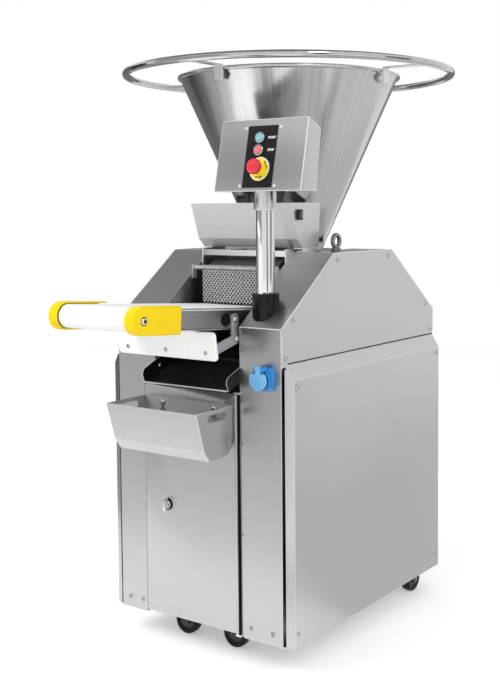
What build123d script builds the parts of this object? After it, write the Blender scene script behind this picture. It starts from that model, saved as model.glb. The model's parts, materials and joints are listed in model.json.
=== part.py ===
"""Dough divider: a sheet-steel cabinet on casters with a hopper, dividing head, duster and outfeed belt.

The frame stands on the floor under the middle of the machine's box: X to the right, -Y to the front, Z up.
"""
import os
from math import atan2, cos, degrees, radians, sin, sqrt, tan

from build123d import *

os.makedirs("parts", exist_ok=True)

# Sheet and fits
SHEET = 2.0
RUNNING_GAP = 0.05
BODY_GAP = 0.5

# Cabinet
CORE_WIDTH = 550.0
CABINET_DEPTH = 800.0
SKIRT_Z = 74.0
FLOOR_Z = 108.0
COVER_TOP_Z = 790.0
COVER_FOLD_Z = 754.0
COVER_STANDOUT = 30.0
COVER_BEVEL = 14.0
COVER_SEAM = 8.0
SHOULDER_Z = 880.0
REAR_SHOULDER_Z = 870.0
TOP_Z = 1060.0
SLOPE_RUN = 240.0
TOP_LENGTH = 305.0
CHEEK_WIDTH = 130.0
FLANGE = 28.0

# Hopper and guard ring
HOPPER_SETBACK = 432.0
RIM_RADIUS = 315.0
RIM_Z = 1552.0
RIM_BEAD_RADIUS = 6.0
OUTLET_RADIUS = 95.0
HOPPER_FLANGE_RADIUS = 130.0
HOPPER_FLANGE = 6.0
RING_RADIUS = 467.0
RING_TUBE_RADIUS = 10.0
RING_Z = 1560.0
ARM_WIDTH = 30.0
ARM_THICKNESS = 4.0
ARM_TAB = 42.0

# Outfeed conveyor
NOSE_REACH = 377.0
NOSE_Z = 925.0
CONVEYOR_TILT = 4.2
CAP_HALF_WIDTH = 140.0
CAP_RADIUS = 34.0
CAP_WALL = 4.0
CAP_LENGTH = 131.0
CAP_LIP = 30.0
ROLLER_RADIUS = 25.0
BELT_THICKNESS = 3.0
BELT_HALF_WIDTH = 108.0
SIDE_PLATE = 4.0
SIDE_PLATE_HEIGHT = 44.0
AXLE_RADIUS = 8.0
DRIVE_SETBACK = 165.0

# Door and catch tray
DOOR_LEFT_X = -181.0
DOOR_AXIS_X = 134.0
DOOR_BOTTOM_Z = 80.0
DOOR_TOP_Z = 706.0
DOOR_FLANGE = 16.0
KNUCKLE_RADIUS = 6.5
KNUCKLE_PROUD = 4.5
PIN_RADIUS = 3.0
TRAY_LEFT_X = -178.0
TRAY_RIGHT_X = 126.0
TRAY_TOP_Z = 677.0
TRAY_FOLD_Z = 578.0
TRAY_BOTTOM_Z = 550.0
TRAY_TOP_REACH = 150.0
TRAY_FOLD_REACH = 120.0
TRAY_BOTTOM_REACH = 100.0
TRAY_LIFT = 22.0
TRAY_ROUND = 50.0
STUD_RADIUS = 4.0
STUD_HEAD_RADIUS = 8.0
STUD_SPAN = 176.0
STUD_DROP = 14.0
GRIP_LENGTH = 72.0
GRIP_HEIGHT = 20.0
LATCH_X = -103.0
LATCH_Z = 386.0
LATCH_REACH = 92.0

# Control column and box
COLUMN_X = 190.0
COLUMN_SETBACK = 54.0
COLUMN_RADIUS = 24.0
COLUMN_WALL = 3.0
BOOT_RADIUS = 35.0
BOOT_TOP_Z = 964.0
SLEEVE_RADIUS = 29.0
SLEEVE_LENGTH = 47.0
BOX_WIDTH = 270.0
BOX_BOTTOM_Z = 1222.0
BOX_HEIGHT = 183.0
BOX_LEAN = 40.0
BOX_BOTTOM_DEPTH = 68.0
BOX_TOP_DEPTH = 50.0
BOX_TOP_FALL = 24.0
BOX_FRONT_OVERHANG = 38.0
PLATE_WIDTH = 92.0
PLATE_HEIGHT = 160.0
PLATE_THICKNESS = 1.5
BUTTON_RADIUS = 11.0
BEZEL_RADIUS = 15.0
BEZEL_HEIGHT = 8.0
BUTTON_TRAVEL = 3.0
START_HEIGHT = 137.0
STOP_HEIGHT = 105.0
ESTOP_HEIGHT = 56.0
ESTOP_DISC_RADIUS = 30.0
ESTOP_STEM_RADIUS = 10.0
ESTOP_HEAD_RADIUS = 20.0
ESTOP_TRAVEL = 3.5

# Flour duster
DUSTER_LEFT_X = -172.0
DUSTER_RIGHT_X = 134.0
DUSTER_BOX_WIDTH = 40.0
DUSTER_TOP_Z = 1194.0
DUSTER_BEND_Z = 1096.0
DUSTER_BOTTOM_Z = 1072.0
DUSTER_TOP_SETBACK = 190.0
DUSTER_BEND_SETBACK = 223.0
DUSTER_BOTTOM_SETBACK = 247.0
DUSTER_TOP_DEPTH = 70.0
DUSTER_BOTTOM_DEPTH = 68.0
DUSTER_BOX_BACK = 331.0
DUSTER_ROLLER_RADIUS = 20.0
DUSTER_STUB_RADIUS = 6.0
DUSTER_ROLLER_SHIFT = 3.0
ROCKER_LENGTH = 22.0
ROCKER_WIDTH = 12.0

# Moulding mat
MAT_SETBACK = 168.0
MAT_BAR_Z = 1016.0
MAT_BAR_RADIUS = 6.0
MAT_HALF_WIDTH = 106.0
MAT_THICKNESS = 3.0
MAT_ROWS = 12
MAT_COLUMNS = 16
MAT_WIRE = 3.0
MAT_CLEARANCE = 4.0

# Dividing head, drum and ram
HEAD_HALF_WIDTH = 120.0
HEAD_FRONT = 300.0
HEAD_BACK = 560.0
HEAD_BOTTOM_Z = 880.0
INLET_RADIUS = 85.0
RAM_WIDTH = 200.0
RAM_HEIGHT = 80.0
RAM_LENGTH = 80.0
RAM_STROKE = 50.0
ROD_GRIP = 10.0
RAM_ROD_RADIUS = 15.0
DRUM_SETBACK = 265.0
DRUM_Z = 960.0
DRUM_RADIUS = 84.0
DRUM_SHAFT_RADIUS = 20.0
POCKET_RADIUS = 30.0
POCKET_SPACING = 110.0
PISTON_INSET = 8.0
PISTON_LENGTH = 28.0
PISTON_STROKE = 25.0
GEARBOX_WALL = 7.0
GEARBOX_CLEARANCE = 12.0
GEARBOX_WIDTH = 160.0
MOTOR_RADIUS = 55.0
MOTOR_LENGTH = 230.0

# Casters
WHEEL_RADIUS = 37.5
WHEEL_WIDTH = 30.0
CASTER_TRAIL = 26.0
CASTER_PLATE = 4.0
CASTER_AXLE_RADIUS = 6.0
FRONT_CASTER_X = 85.0
FRONT_CASTER_SETBACK = 90.0
REAR_CASTER_X = 243.0
REAR_CASTER_INSET = 80.0

# Socket outlet
SOCKET_X = 225.0
SOCKET_Z = 754.0
SOCKET_SIZE = 58.0
SOCKET_BASE = 10.0
SOCKET_COLLAR_RADIUS = 25.0
SOCKET_COLLAR = 16.0
LID_THICKNESS = 5.0
LID_PIN_RADIUS = 2.5

# Worked-out places
half_core = CORE_WIDTH / 2
front_y = (NOSE_REACH - HOPPER_SETBACK - RING_RADIUS - RING_TUBE_RADIUS) / 2
rear_y = front_y + CABINET_DEPTH
cheek_x = half_core - CHEEK_WIDTH
slope_top_y = front_y + SLOPE_RUN
top_rear_y = slope_top_y + TOP_LENGTH
hopper_y = front_y + HOPPER_SETBACK
step_x = cheek_x + 9
slope_rise = (TOP_Z - SHOULDER_Z) / SLOPE_RUN
rear_fall = (TOP_Z - REAR_SHOULDER_Z) / (rear_y - top_rear_y)


def slope_z(y):
    """Height of the cheeks' front slope."""
    return SHOULDER_Z + (y - front_y) * slope_rise


def front_plane(y):
    """Upright plane that faces the front, at depth y."""
    return Plane.XZ.offset(-y)


def side_plane(x):
    """Upright plane that faces right, at width x, with depth and height as its axes."""
    return Plane.YZ.offset(x)


def save(piece, name):
    """Label a finished piece and write it to its own file."""
    piece.part.label = name
    export_step(piece.part, f"parts/{name}.step")


def save_mirrored(piece, name):
    """Write the other side's copy of a piece."""
    with BuildPart() as other:
        mirror(piece.part, about=Plane.YZ)
    save(other, name)


# Base frame: posts, rails, a floor sheet and the shelf that carries the gearbox
POST = 30.0
SHELF = 6.0
frame_x = half_core - SHEET
frame_front = front_y + FLANGE
frame_back = rear_y - SHEET
gearbox_top_z = DRUM_Z + RAM_ROD_RADIUS + GEARBOX_WALL
gearbox_length = RAM_STROKE + ROD_GRIP
gearbox_back = top_rear_y + (TOP_Z - gearbox_top_z - GEARBOX_CLEARANCE) / rear_fall
gearbox_front = gearbox_back - gearbox_length
shelf_front = gearbox_front - 10
shelf_length = gearbox_length + 20
with BuildPart() as base_frame:
    with BuildSketch(Plane.XY.offset(FLOOR_Z)):
        with Locations((0, (frame_front + frame_back) / 2)):
            Rectangle(2 * frame_x, frame_back - frame_front)
    extrude(amount=SHEET)
    with BuildSketch(Plane.XY.offset(FLOOR_Z + SHEET)):
        for x in (-frame_x + POST / 2, frame_x - POST / 2):
            for y in (frame_front + POST / 2, frame_back - POST / 2):
                with Locations((x, y)):
                    Rectangle(POST, POST)
    extrude(amount=COVER_TOP_Z - FLOOR_Z - SHEET)
    for z in (FLOOR_Z + SHEET, COVER_TOP_Z - POST):
        with BuildSketch(Plane.XY.offset(z)):
            for x in (-frame_x + POST / 2, frame_x - POST / 2):
                with Locations((x, (frame_front + frame_back) / 2)):
                    Rectangle(POST, frame_back - frame_front)
            with Locations((0, frame_back - POST / 2)):
                Rectangle(2 * frame_x, POST)
        extrude(amount=POST)
    with BuildSketch(Plane.XY.offset(COVER_TOP_Z - SHELF)):
        with Locations((0, shelf_front + shelf_length / 2)):
            Rectangle(2 * frame_x, shelf_length)
            Circle(MOTOR_RADIUS + 5, mode=Mode.SUBTRACT)
    extrude(amount=SHELF)
save(base_frame, "base_frame")

# Right fascia: folded sheet with a set-back strip along the door side
STEP_DEPTH = 3.0
fascia_height = SHOULDER_Z - SKIRT_Z
flange_x = cheek_x - SHEET
with BuildPart() as right_fascia:
    with BuildSketch(Plane.XY.offset(SKIRT_Z)):
        with BuildLine():
            Polyline(
                (flange_x, frame_front),
                (flange_x, front_y + STEP_DEPTH),
                (step_x, front_y + STEP_DEPTH),
                (step_x, front_y),
                (half_core, front_y),
                (half_core, frame_front),
                (half_core - SHEET, frame_front),
                (half_core - SHEET, front_y + SHEET),
                (step_x + SHEET, front_y + SHEET),
                (step_x + SHEET, front_y + STEP_DEPTH + SHEET),
                (cheek_x, front_y + STEP_DEPTH + SHEET),
                (cheek_x, frame_front),
                close=True,
            )
        make_face()
    extrude(amount=fascia_height)
save(right_fascia, "right_fascia")

# Left fascia: wide above the door, narrow beside it, with flanges along both inner edges
DOOR_GAP = 1.5
door_head_z = DOOR_TOP_Z + DOOR_GAP
left_edge = DOOR_LEFT_X - DOOR_GAP
with BuildPart() as left_fascia:
    with BuildSketch(front_plane(front_y)):
        with BuildLine():
            Polyline(
                (-half_core, SKIRT_Z),
                (left_edge, SKIRT_Z),
                (left_edge, door_head_z),
                (-flange_x, door_head_z),
                (-flange_x, SHOULDER_Z),
                (-half_core, SHOULDER_Z),
                close=True,
            )
        make_face()
    extrude(amount=-SHEET)
    with BuildSketch(front_plane(front_y + SHEET)):
        for x, low, high in (
            (-half_core, SKIRT_Z, SHOULDER_Z),
            (left_edge - SHEET, SKIRT_Z, door_head_z),
            (-flange_x - SHEET, door_head_z, SHOULDER_Z),
        ):
            with Locations((x + SHEET / 2, (low + high) / 2)):
                Rectangle(SHEET, high - low)
    extrude(amount=-(FLANGE - SHEET))
save(left_fascia, "left_fascia")

# Right cheek: inner wall with the folded hood over its front slope, top and rear slope
hood_back = rear_y - SHEET
hood_rim = SHEET * sqrt(1 + slope_rise**2)
rear_rim = SHEET * sqrt(1 + rear_fall**2)
wall_front = front_y + STEP_DEPTH + SHEET
shaft_y = front_y + DRIVE_SETBACK
with BuildPart() as right_cheek:
    with BuildSketch(side_plane(cheek_x)):
        with BuildLine():
            Polyline(
                (wall_front, COVER_TOP_Z),
                (wall_front, SHOULDER_Z),
                (front_y, SHOULDER_Z),
                (slope_top_y, TOP_Z),
                (top_rear_y, TOP_Z),
                (rear_y, REAR_SHOULDER_Z),
                (hood_back, REAR_SHOULDER_Z),
                (hood_back, COVER_TOP_Z),
                close=True,
            )
        make_face()
    extrude(amount=CHEEK_WIDTH)
    with BuildSketch(side_plane(cheek_x + SHEET)):
        with BuildLine():
            Polyline(
                (front_y, COVER_TOP_Z),
                (front_y, SHOULDER_Z - hood_rim),
                (slope_top_y + SHEET / 2, TOP_Z - SHEET),
                (top_rear_y - SHEET / 2, TOP_Z - SHEET),
                (rear_y, REAR_SHOULDER_Z - rear_rim),
                (rear_y, COVER_TOP_Z),
                close=True,
            )
        make_face()
    extrude(amount=CHEEK_WIDTH, mode=Mode.SUBTRACT)
save(right_cheek, "right_cheek")
save_mirrored(right_cheek, "left_cheek")

# Upper side panel: flat sheet on the cheek's open side, with a small seam above the lower cover
PANEL_SEAM = 4.0
PANEL_CORNER = 6.0
with BuildPart() as right_upper_panel:
    with BuildSketch(side_plane(half_core)):
        with BuildLine():
            Polyline(
                (front_y, COVER_TOP_Z + PANEL_SEAM),
                (front_y, SHOULDER_Z),
                (slope_top_y, TOP_Z),
                (top_rear_y, TOP_Z),
                (rear_y, REAR_SHOULDER_Z),
                (rear_y, COVER_TOP_Z + PANEL_SEAM),
                close=True,
            )
        panel_face = make_face()
        fillet(panel_face.vertices(), radius=PANEL_CORNER)
    extrude(amount=SHEET)
save(right_upper_panel, "right_upper_panel")
save_mirrored(right_upper_panel, "left_upper_panel")

# Lower side cover: a drawn-out pan with bevelled front, back and top, and an open seam beside the fascia
with BuildPart() as right_lower_cover:
    with BuildSketch(side_plane(half_core)):
        with Locations(((front_y + rear_y) / 2, (SKIRT_Z + COVER_TOP_Z) / 2)):
            Rectangle(CABINET_DEPTH, COVER_TOP_Z - SKIRT_Z)
    with BuildSketch(side_plane(half_core + COVER_STANDOUT)):
        with Locations(((front_y + rear_y) / 2, (SKIRT_Z + COVER_FOLD_Z) / 2)):
            Rectangle(CABINET_DEPTH - 2 * COVER_BEVEL, COVER_FOLD_Z - SKIRT_Z)
    loft(ruled=True)
    cover_mouth = right_lower_cover.faces().sort_by(Axis.X)[0]
    offset(amount=-SHEET, openings=cover_mouth)
    with BuildSketch(front_plane(front_y)):
        with Locations((half_core + COVER_SEAM / 2, (SKIRT_Z + COVER_TOP_Z) / 2)):
            Rectangle(COVER_SEAM, COVER_TOP_Z - SKIRT_Z - 4 * SHEET)
    extrude(amount=-COVER_BEVEL, mode=Mode.SUBTRACT)
save(right_lower_cover, "right_lower_cover")
save_mirrored(right_lower_cover, "left_lower_cover")

# Rear panel: flat sheet with two fields of cooling slots
VENT_ROWS = 6
VENT_PITCH = 24.0
VENT_LENGTH = 120.0
VENT_HEIGHT = 8.0
VENT_X = 120.0
VENT_Z = 300.0
with BuildPart() as rear_panel:
    with BuildSketch(front_plane(rear_y)):
        with Locations((0, (SKIRT_Z + REAR_SHOULDER_Z) / 2)):
            Rectangle(CORE_WIDTH, REAR_SHOULDER_Z - SKIRT_Z)
        for x in (-VENT_X, VENT_X):
            with Locations((x, VENT_Z)):
                with GridLocations(0, VENT_PITCH, 1, VENT_ROWS):
                    SlotOverall(VENT_LENGTH, VENT_HEIGHT, mode=Mode.SUBTRACT)
    extrude(amount=SHEET)
save(rear_panel, "rear_panel")

# Centre cover: sloped sheet between the cheeks behind the dividing head
cover_front = front_y + HEAD_BACK + 6
cover_front_z = TOP_Z - (cover_front - top_rear_y) * rear_fall
with BuildPart() as centre_cover:
    with BuildSketch(side_plane(-cheek_x)):
        with BuildLine():
            Polyline(
                (cover_front, cover_front_z),
                (rear_y, REAR_SHOULDER_Z),
                (rear_y, REAR_SHOULDER_Z - rear_rim),
                (hood_back, REAR_SHOULDER_Z - rear_rim + SHEET * rear_fall),
                (cover_front, cover_front_z - rear_rim),
                close=True,
            )
        make_face()
    extrude(amount=2 * cheek_x)
    with BuildSketch(front_plane(hood_back)):
        with Locations((0, REAR_SHOULDER_Z - 20)):
            Rectangle(2 * cheek_x, 40)
    extrude(amount=-SHEET, mode=Mode.SUBTRACT)
save(centre_cover, "centre_cover")

# Hopper: spun cone with a wired rim and a bolting flange round its outlet
cone_spread = (RIM_RADIUS - OUTLET_RADIUS) / (RIM_Z - TOP_Z)
cone_wall = SHEET * sqrt(1 + cone_spread**2)
head_top_z = TOP_Z - HOPPER_FLANGE


def cone_radius(z):
    """Outer radius of the hopper's wall at height z."""
    return OUTLET_RADIUS + (z - TOP_Z) * cone_spread


hopper_axis = Axis((0, hopper_y, 0), (0, 0, 1))
with BuildPart() as hopper:
    with BuildSketch(front_plane(hopper_y)):
        with BuildLine():
            Polyline(
                (OUTLET_RADIUS - cone_wall, head_top_z),
                (HOPPER_FLANGE_RADIUS, head_top_z),
                (HOPPER_FLANGE_RADIUS, TOP_Z),
                (OUTLET_RADIUS, TOP_Z),
                (RIM_RADIUS, RIM_Z),
                (RIM_RADIUS - cone_wall, RIM_Z),
                (OUTLET_RADIUS - cone_wall, TOP_Z),
                close=True,
            )
        make_face()
        with Locations((RIM_RADIUS, RIM_Z)):
            Circle(RIM_BEAD_RADIUS)
    revolve(axis=hopper_axis)
save(hopper, "hopper")

# Guard ring: bent tube that keeps hands away from the hopper's mouth
with BuildPart() as guard_ring:
    with BuildSketch(front_plane(hopper_y)):
        with Locations((RING_RADIUS, RING_Z)):
            Circle(RING_TUBE_RADIUS)
    revolve(axis=hopper_axis)
save(guard_ring, "guard_ring")

# Ring arms: flat bars from the ring to the rim, turned down outside the bead and back to the cone
SEAT_GAP = 0.2
RING_SEAT_GAP = 0.4
arm_end = RING_RADIUS - RING_TUBE_RADIUS - RING_SEAT_GAP
tab_inner = RIM_RADIUS + RIM_BEAD_RADIUS + SEAT_GAP
arm_top_z = RING_Z + ARM_THICKNESS / 2
foot_z = arm_top_z - ARM_TAB
foot_inner = cone_radius(foot_z + ARM_THICKNESS) + SEAT_GAP
with BuildPart() as ring_arms:
    for turn in range(4):
        outward = Vector(1, 0, 0).rotate(Axis.Z, 90 * turn)
        radial = Plane(origin=(0, hopper_y, 0), x_dir=outward, z_dir=(0, 0, 1))
        upright = Plane(origin=radial.origin, x_dir=radial.x_dir, z_dir=-radial.y_dir)
        with BuildSketch(upright):
            with BuildLine():
                Polyline(
                    (arm_end, arm_top_z),
                    (tab_inner, arm_top_z),
                    (tab_inner, foot_z + ARM_THICKNESS),
                    (foot_inner, foot_z + ARM_THICKNESS),
                    (foot_inner, foot_z),
                    (tab_inner + ARM_THICKNESS, foot_z),
                    (tab_inner + ARM_THICKNESS, arm_top_z - ARM_THICKNESS),
                    (arm_end, arm_top_z - ARM_THICKNESS),
                    close=True,
                )
            make_face()
        extrude(amount=ARM_WIDTH / 2, both=True)
save(ring_arms, "ring_arms")

# Lifting eyes: forged eye bolts in the cheeks' tops
EYE_X = 208.0
EYE_SETBACK = 358.0
EYE_COLLAR_RADIUS = 13.0
EYE_COLLAR = 9.0
EYE_RADIUS = 17.0
EYE_WIRE_RADIUS = 6.0
eye_z = TOP_Z + EYE_COLLAR + EYE_RADIUS + EYE_WIRE_RADIUS - 4
with BuildPart() as lifting_eyes:
    for x in (-EYE_X, EYE_X):
        with Locations((x, front_y + EYE_SETBACK, TOP_Z)):
            Cylinder(EYE_COLLAR_RADIUS, EYE_COLLAR, align=(Align.CENTER, Align.CENTER, Align.MIN))
        with Locations(Location((x, front_y + EYE_SETBACK, eye_z), (0, 90, 0))):
            Torus(EYE_RADIUS, EYE_WIRE_RADIUS)
save(lifting_eyes, "lifting_eyes")

# Conveyor: everything on it is set out along the tilted line from the nose roller to the drive roller
tilt = radians(CONVEYOR_TILT)
nose_y = front_y - NOSE_REACH + CAP_RADIUS
conveyor_length = (shaft_y - nose_y) / cos(tilt)
plate_inner = BELT_HALF_WIDTH + 18
plate_outer = plate_inner + SIDE_PLATE


def conveyor_plane(x):
    """Upright plane at width x whose own X runs from the nose to the drive end, along the belt."""
    return Plane(origin=(x, nose_y, NOSE_Z), x_dir=(0, cos(tilt), -sin(tilt)), z_dir=(1, 0, 0))


# Conveyor frame: two side plates, tie bars, the slider bed and the spacers to the cheeks
TIE_RADIUS = 8.0
BED = 3.0
SPACER_RADIUS = 10.0
tie_places = (110.0, 260.0)
bed_start = ROLLER_RADIUS + 15
bed_length = conveyor_length - 2 * bed_start
spacer_places = (conveyor_length - 80, conveyor_length - 35)
bed_top = ROLLER_RADIUS - BODY_GAP
axle_bore = AXLE_RADIUS + RUNNING_GAP
with BuildPart() as conveyor_frame:
    for x in (-plate_outer, plate_inner):
        with BuildSketch(conveyor_plane(x)):
            with Locations((conveyor_length / 2, 0)):
                SlotCenterToCenter(conveyor_length, SIDE_PLATE_HEIGHT)
            with Locations((0, 0), (conveyor_length, 0)):
                Circle(axle_bore, mode=Mode.SUBTRACT)
        extrude(amount=SIDE_PLATE)
    with BuildSketch(conveyor_plane(-plate_inner)):
        with Locations(*[(along, 0) for along in tie_places]):
            Circle(TIE_RADIUS)
        with Locations((conveyor_length / 2, bed_top - BED / 2)):
            Rectangle(bed_length, BED)
    extrude(amount=2 * plate_inner)
    for x in (-cheek_x, plate_outer):
        with BuildSketch(conveyor_plane(x)):
            with Locations(*[(along, 0) for along in spacer_places]):
                Circle(SPACER_RADIUS)
        extrude(amount=cheek_x - plate_outer)
save(conveyor_frame, "conveyor_frame")

# Rollers: the nose roller runs free, the drive roller has a longer shaft
roller_half = BELT_HALF_WIDTH
for name, along in (("nose_roller", 0), ("drive_roller", conveyor_length)):
    with BuildPart() as roller:
        with BuildSketch(conveyor_plane(-roller_half)):
            with Locations((along, 0)):
                Circle(ROLLER_RADIUS)
        extrude(amount=2 * roller_half)
        with BuildSketch(conveyor_plane(-plate_outer)):
            with Locations((along, 0)):
                Circle(AXLE_RADIUS)
        extrude(amount=2 * plate_outer)
    save(roller, name)

# Belt: one closed loop round both rollers
belt_inner = ROLLER_RADIUS + BODY_GAP
belt_outer = belt_inner + BELT_THICKNESS
with BuildPart() as conveyor_belt:
    with BuildSketch(conveyor_plane(-BELT_HALF_WIDTH)):
        with Locations((conveyor_length / 2, 0)):
            SlotCenterToCenter(conveyor_length, 2 * belt_outer)
            SlotCenterToCenter(conveyor_length, 2 * belt_inner, mode=Mode.SUBTRACT)
    extrude(amount=2 * BELT_HALF_WIDTH)
save(conveyor_belt, "conveyor_belt")

# End caps: moulded guards over the nose roller's ends, open at the back for the side plates
CAP_EDGE = 5.0
cap_inner = CAP_RADIUS - CAP_WALL
with BuildPart() as conveyor_caps:
    with BuildSketch(conveyor_plane(CAP_HALF_WIDTH - CAP_LIP)):
        with Locations((CAP_LENGTH / 2, 0)):
            Rectangle(CAP_LENGTH, 2 * CAP_RADIUS)
        Circle(CAP_RADIUS)
    extrude(amount=CAP_LIP)
    cap_face = conveyor_caps.faces().sort_by(Axis.X)[-1]
    fillet(cap_face.edges(), radius=CAP_EDGE)
    with BuildSketch(conveyor_plane(CAP_HALF_WIDTH - CAP_LIP)):
        with Locations((CAP_LENGTH / 2, 0)):
            Rectangle(CAP_LENGTH, 2 * cap_inner)
        Circle(cap_inner)
    extrude(amount=CAP_LIP - CAP_WALL, mode=Mode.SUBTRACT)
    with BuildSketch(conveyor_plane(plate_outer)):
        with Locations((CAP_LENGTH / 2, 0)):
            Circle(SPACER_RADIUS)
    extrude(amount=CAP_HALF_WIDTH - CAP_WALL - plate_outer)
    mirror(about=Plane.YZ)
save(conveyor_caps, "conveyor_caps")

# Scraper: white plate under the belt that wipes its return run
SCRAPER_REACH = 112.0
SCRAPER_LEAN = 9.0
SCRAPER_HALF_WIDTH = 163.0
SCRAPER_BOTTOM_Z = 806.0
SCRAPER_THICKNESS = 8.0
SCRAPER_CORNER = 9.0
SCRAPER_GAP = 2.0
scraper_y = front_y - SCRAPER_REACH
scraper_lean = radians(SCRAPER_LEAN)
belt_under = NOSE_Z - (scraper_y - nose_y) * tan(tilt) - belt_outer / cos(tilt)
scraper_height = (belt_under - SCRAPER_GAP - SCRAPER_BOTTOM_Z) / cos(scraper_lean)
scraper_facing = (0, -cos(scraper_lean), -sin(scraper_lean))
scraper_face = Plane(origin=(0, scraper_y, SCRAPER_BOTTOM_Z), x_dir=(1, 0, 0), z_dir=scraper_facing)
with BuildPart() as scraper_plate:
    with BuildSketch(scraper_face):
        with Locations((0, scraper_height / 2)):
            RectangleRounded(2 * SCRAPER_HALF_WIDTH, scraper_height, SCRAPER_CORNER)
    extrude(amount=-SCRAPER_THICKNESS)
save(scraper_plate, "scraper_plate")

# Scraper arms: backing sheet, two bent arms and the obround links that hang them from the conveyor
LINK_WIDTH = 28.0
LINK_THICKNESS = 4.0
LINK_LENGTH = 50.0
LINK_SETBACK = 2.0
ARM_BAR = 26.0
BOLT_RADIUS = 6.0
BOLT_HEAD = 4.0
link_y = front_y - LINK_SETBACK
link_z = NOSE_Z - (link_y - nose_y) * tan(tilt)
arm_low_z = SCRAPER_BOTTOM_Z + ARM_BAR / 2 + 6
arm_low_y = scraper_y + SCRAPER_THICKNESS + SHEET - 6 * tan(scraper_lean)
arm_high_y = arm_low_y - ARM_BAR * tan(scraper_lean)
link_low_z = link_z - LINK_LENGTH
link_outer = plate_outer + LINK_THICKNESS
with BuildPart() as scraper_arms:
    with BuildSketch(scraper_face.offset(-SCRAPER_THICKNESS)):
        with Locations((0, scraper_height / 2)):
            Rectangle(2 * SCRAPER_HALF_WIDTH - 10, scraper_height - 12)
    extrude(amount=-SHEET)
    for x in (-link_outer - LINK_THICKNESS, link_outer):
        with BuildSketch(side_plane(x)):
            with BuildLine():
                Polyline(
                    (arm_low_y, arm_low_z - ARM_BAR / 2),
                    (link_y, link_low_z - ARM_BAR / 2),
                    (link_y, link_low_z + ARM_BAR / 2),
                    (arm_high_y, arm_low_z + ARM_BAR / 2),
                    close=True,
                )
            make_face()
            with Locations((link_y, link_low_z)):
                Circle(ARM_BAR / 2)
        extrude(amount=LINK_THICKNESS)
    for x in (-link_outer, plate_outer):
        with BuildSketch(side_plane(x)):
            with Locations((link_y, (link_z + link_low_z) / 2)):
                SlotCenterToCenter(LINK_LENGTH, LINK_WIDTH, rotation=90)
        extrude(amount=LINK_THICKNESS)
    for side in (-1, 1):
        with BuildSketch(side_plane(side * link_outer)):
            with Locations((link_y, link_z)):
                RegularPolygon(BOLT_RADIUS, 6)
        extrude(amount=side * BOLT_HEAD)
        with BuildSketch(side_plane(side * (link_outer + LINK_THICKNESS))):
            with Locations((link_y, link_low_z)):
                RegularPolygon(BOLT_RADIUS, 6)
        extrude(amount=side * BOLT_HEAD)
save(scraper_arms, "scraper_arms")

# Chute: sloped floor with round-nosed side walls, carried between the fascia flanges
CHUTE_REACH = 42.0
CHUTE_LIP_Z = 720.0
CHUTE_SETBACK = 150.0
CHUTE_BACK_Z = 800.0
CHUTE_WALL = 34.0
CHUTE_ROD_RADIUS = 5.0
chute_front = front_y - CHUTE_REACH
chute_back = front_y + CHUTE_SETBACK
chute_angle = atan2(CHUTE_BACK_Z - CHUTE_LIP_Z, chute_back - chute_front)
chute_length = (chute_back - chute_front) / cos(chute_angle)
chute_x = flange_x


def chute_plane(x):
    """Upright plane at width x whose own X climbs the chute's floor from its lip."""
    climb = (0, cos(chute_angle), sin(chute_angle))
    return Plane(origin=(x, chute_front, CHUTE_LIP_Z), x_dir=climb, z_dir=(1, 0, 0))


with BuildPart() as chute:
    with BuildSketch(chute_plane(-chute_x)):
        with Locations((chute_length / 2, SHEET / 2)):
            Rectangle(chute_length, SHEET)
    extrude(amount=2 * chute_x)
    for x in (-chute_x, chute_x - SHEET):
        with BuildSketch(chute_plane(x)):
            with Locations((chute_length / 2, CHUTE_WALL / 2)):
                Rectangle(chute_length, CHUTE_WALL)
        extrude(amount=SHEET)
    wall_noses = chute.edges().filter_by(Axis.X).group_by(Axis.Y)[0].group_by(Axis.Z)[-1]
    fillet(wall_noses, radius=CHUTE_WALL / 2)
    with BuildSketch(chute_plane(-chute_x)):
        with Locations((chute_length / 2, CHUTE_WALL - CHUTE_ROD_RADIUS)):
            Circle(CHUTE_ROD_RADIUS)
    extrude(amount=2 * chute_x)
save(chute, "chute")

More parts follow.
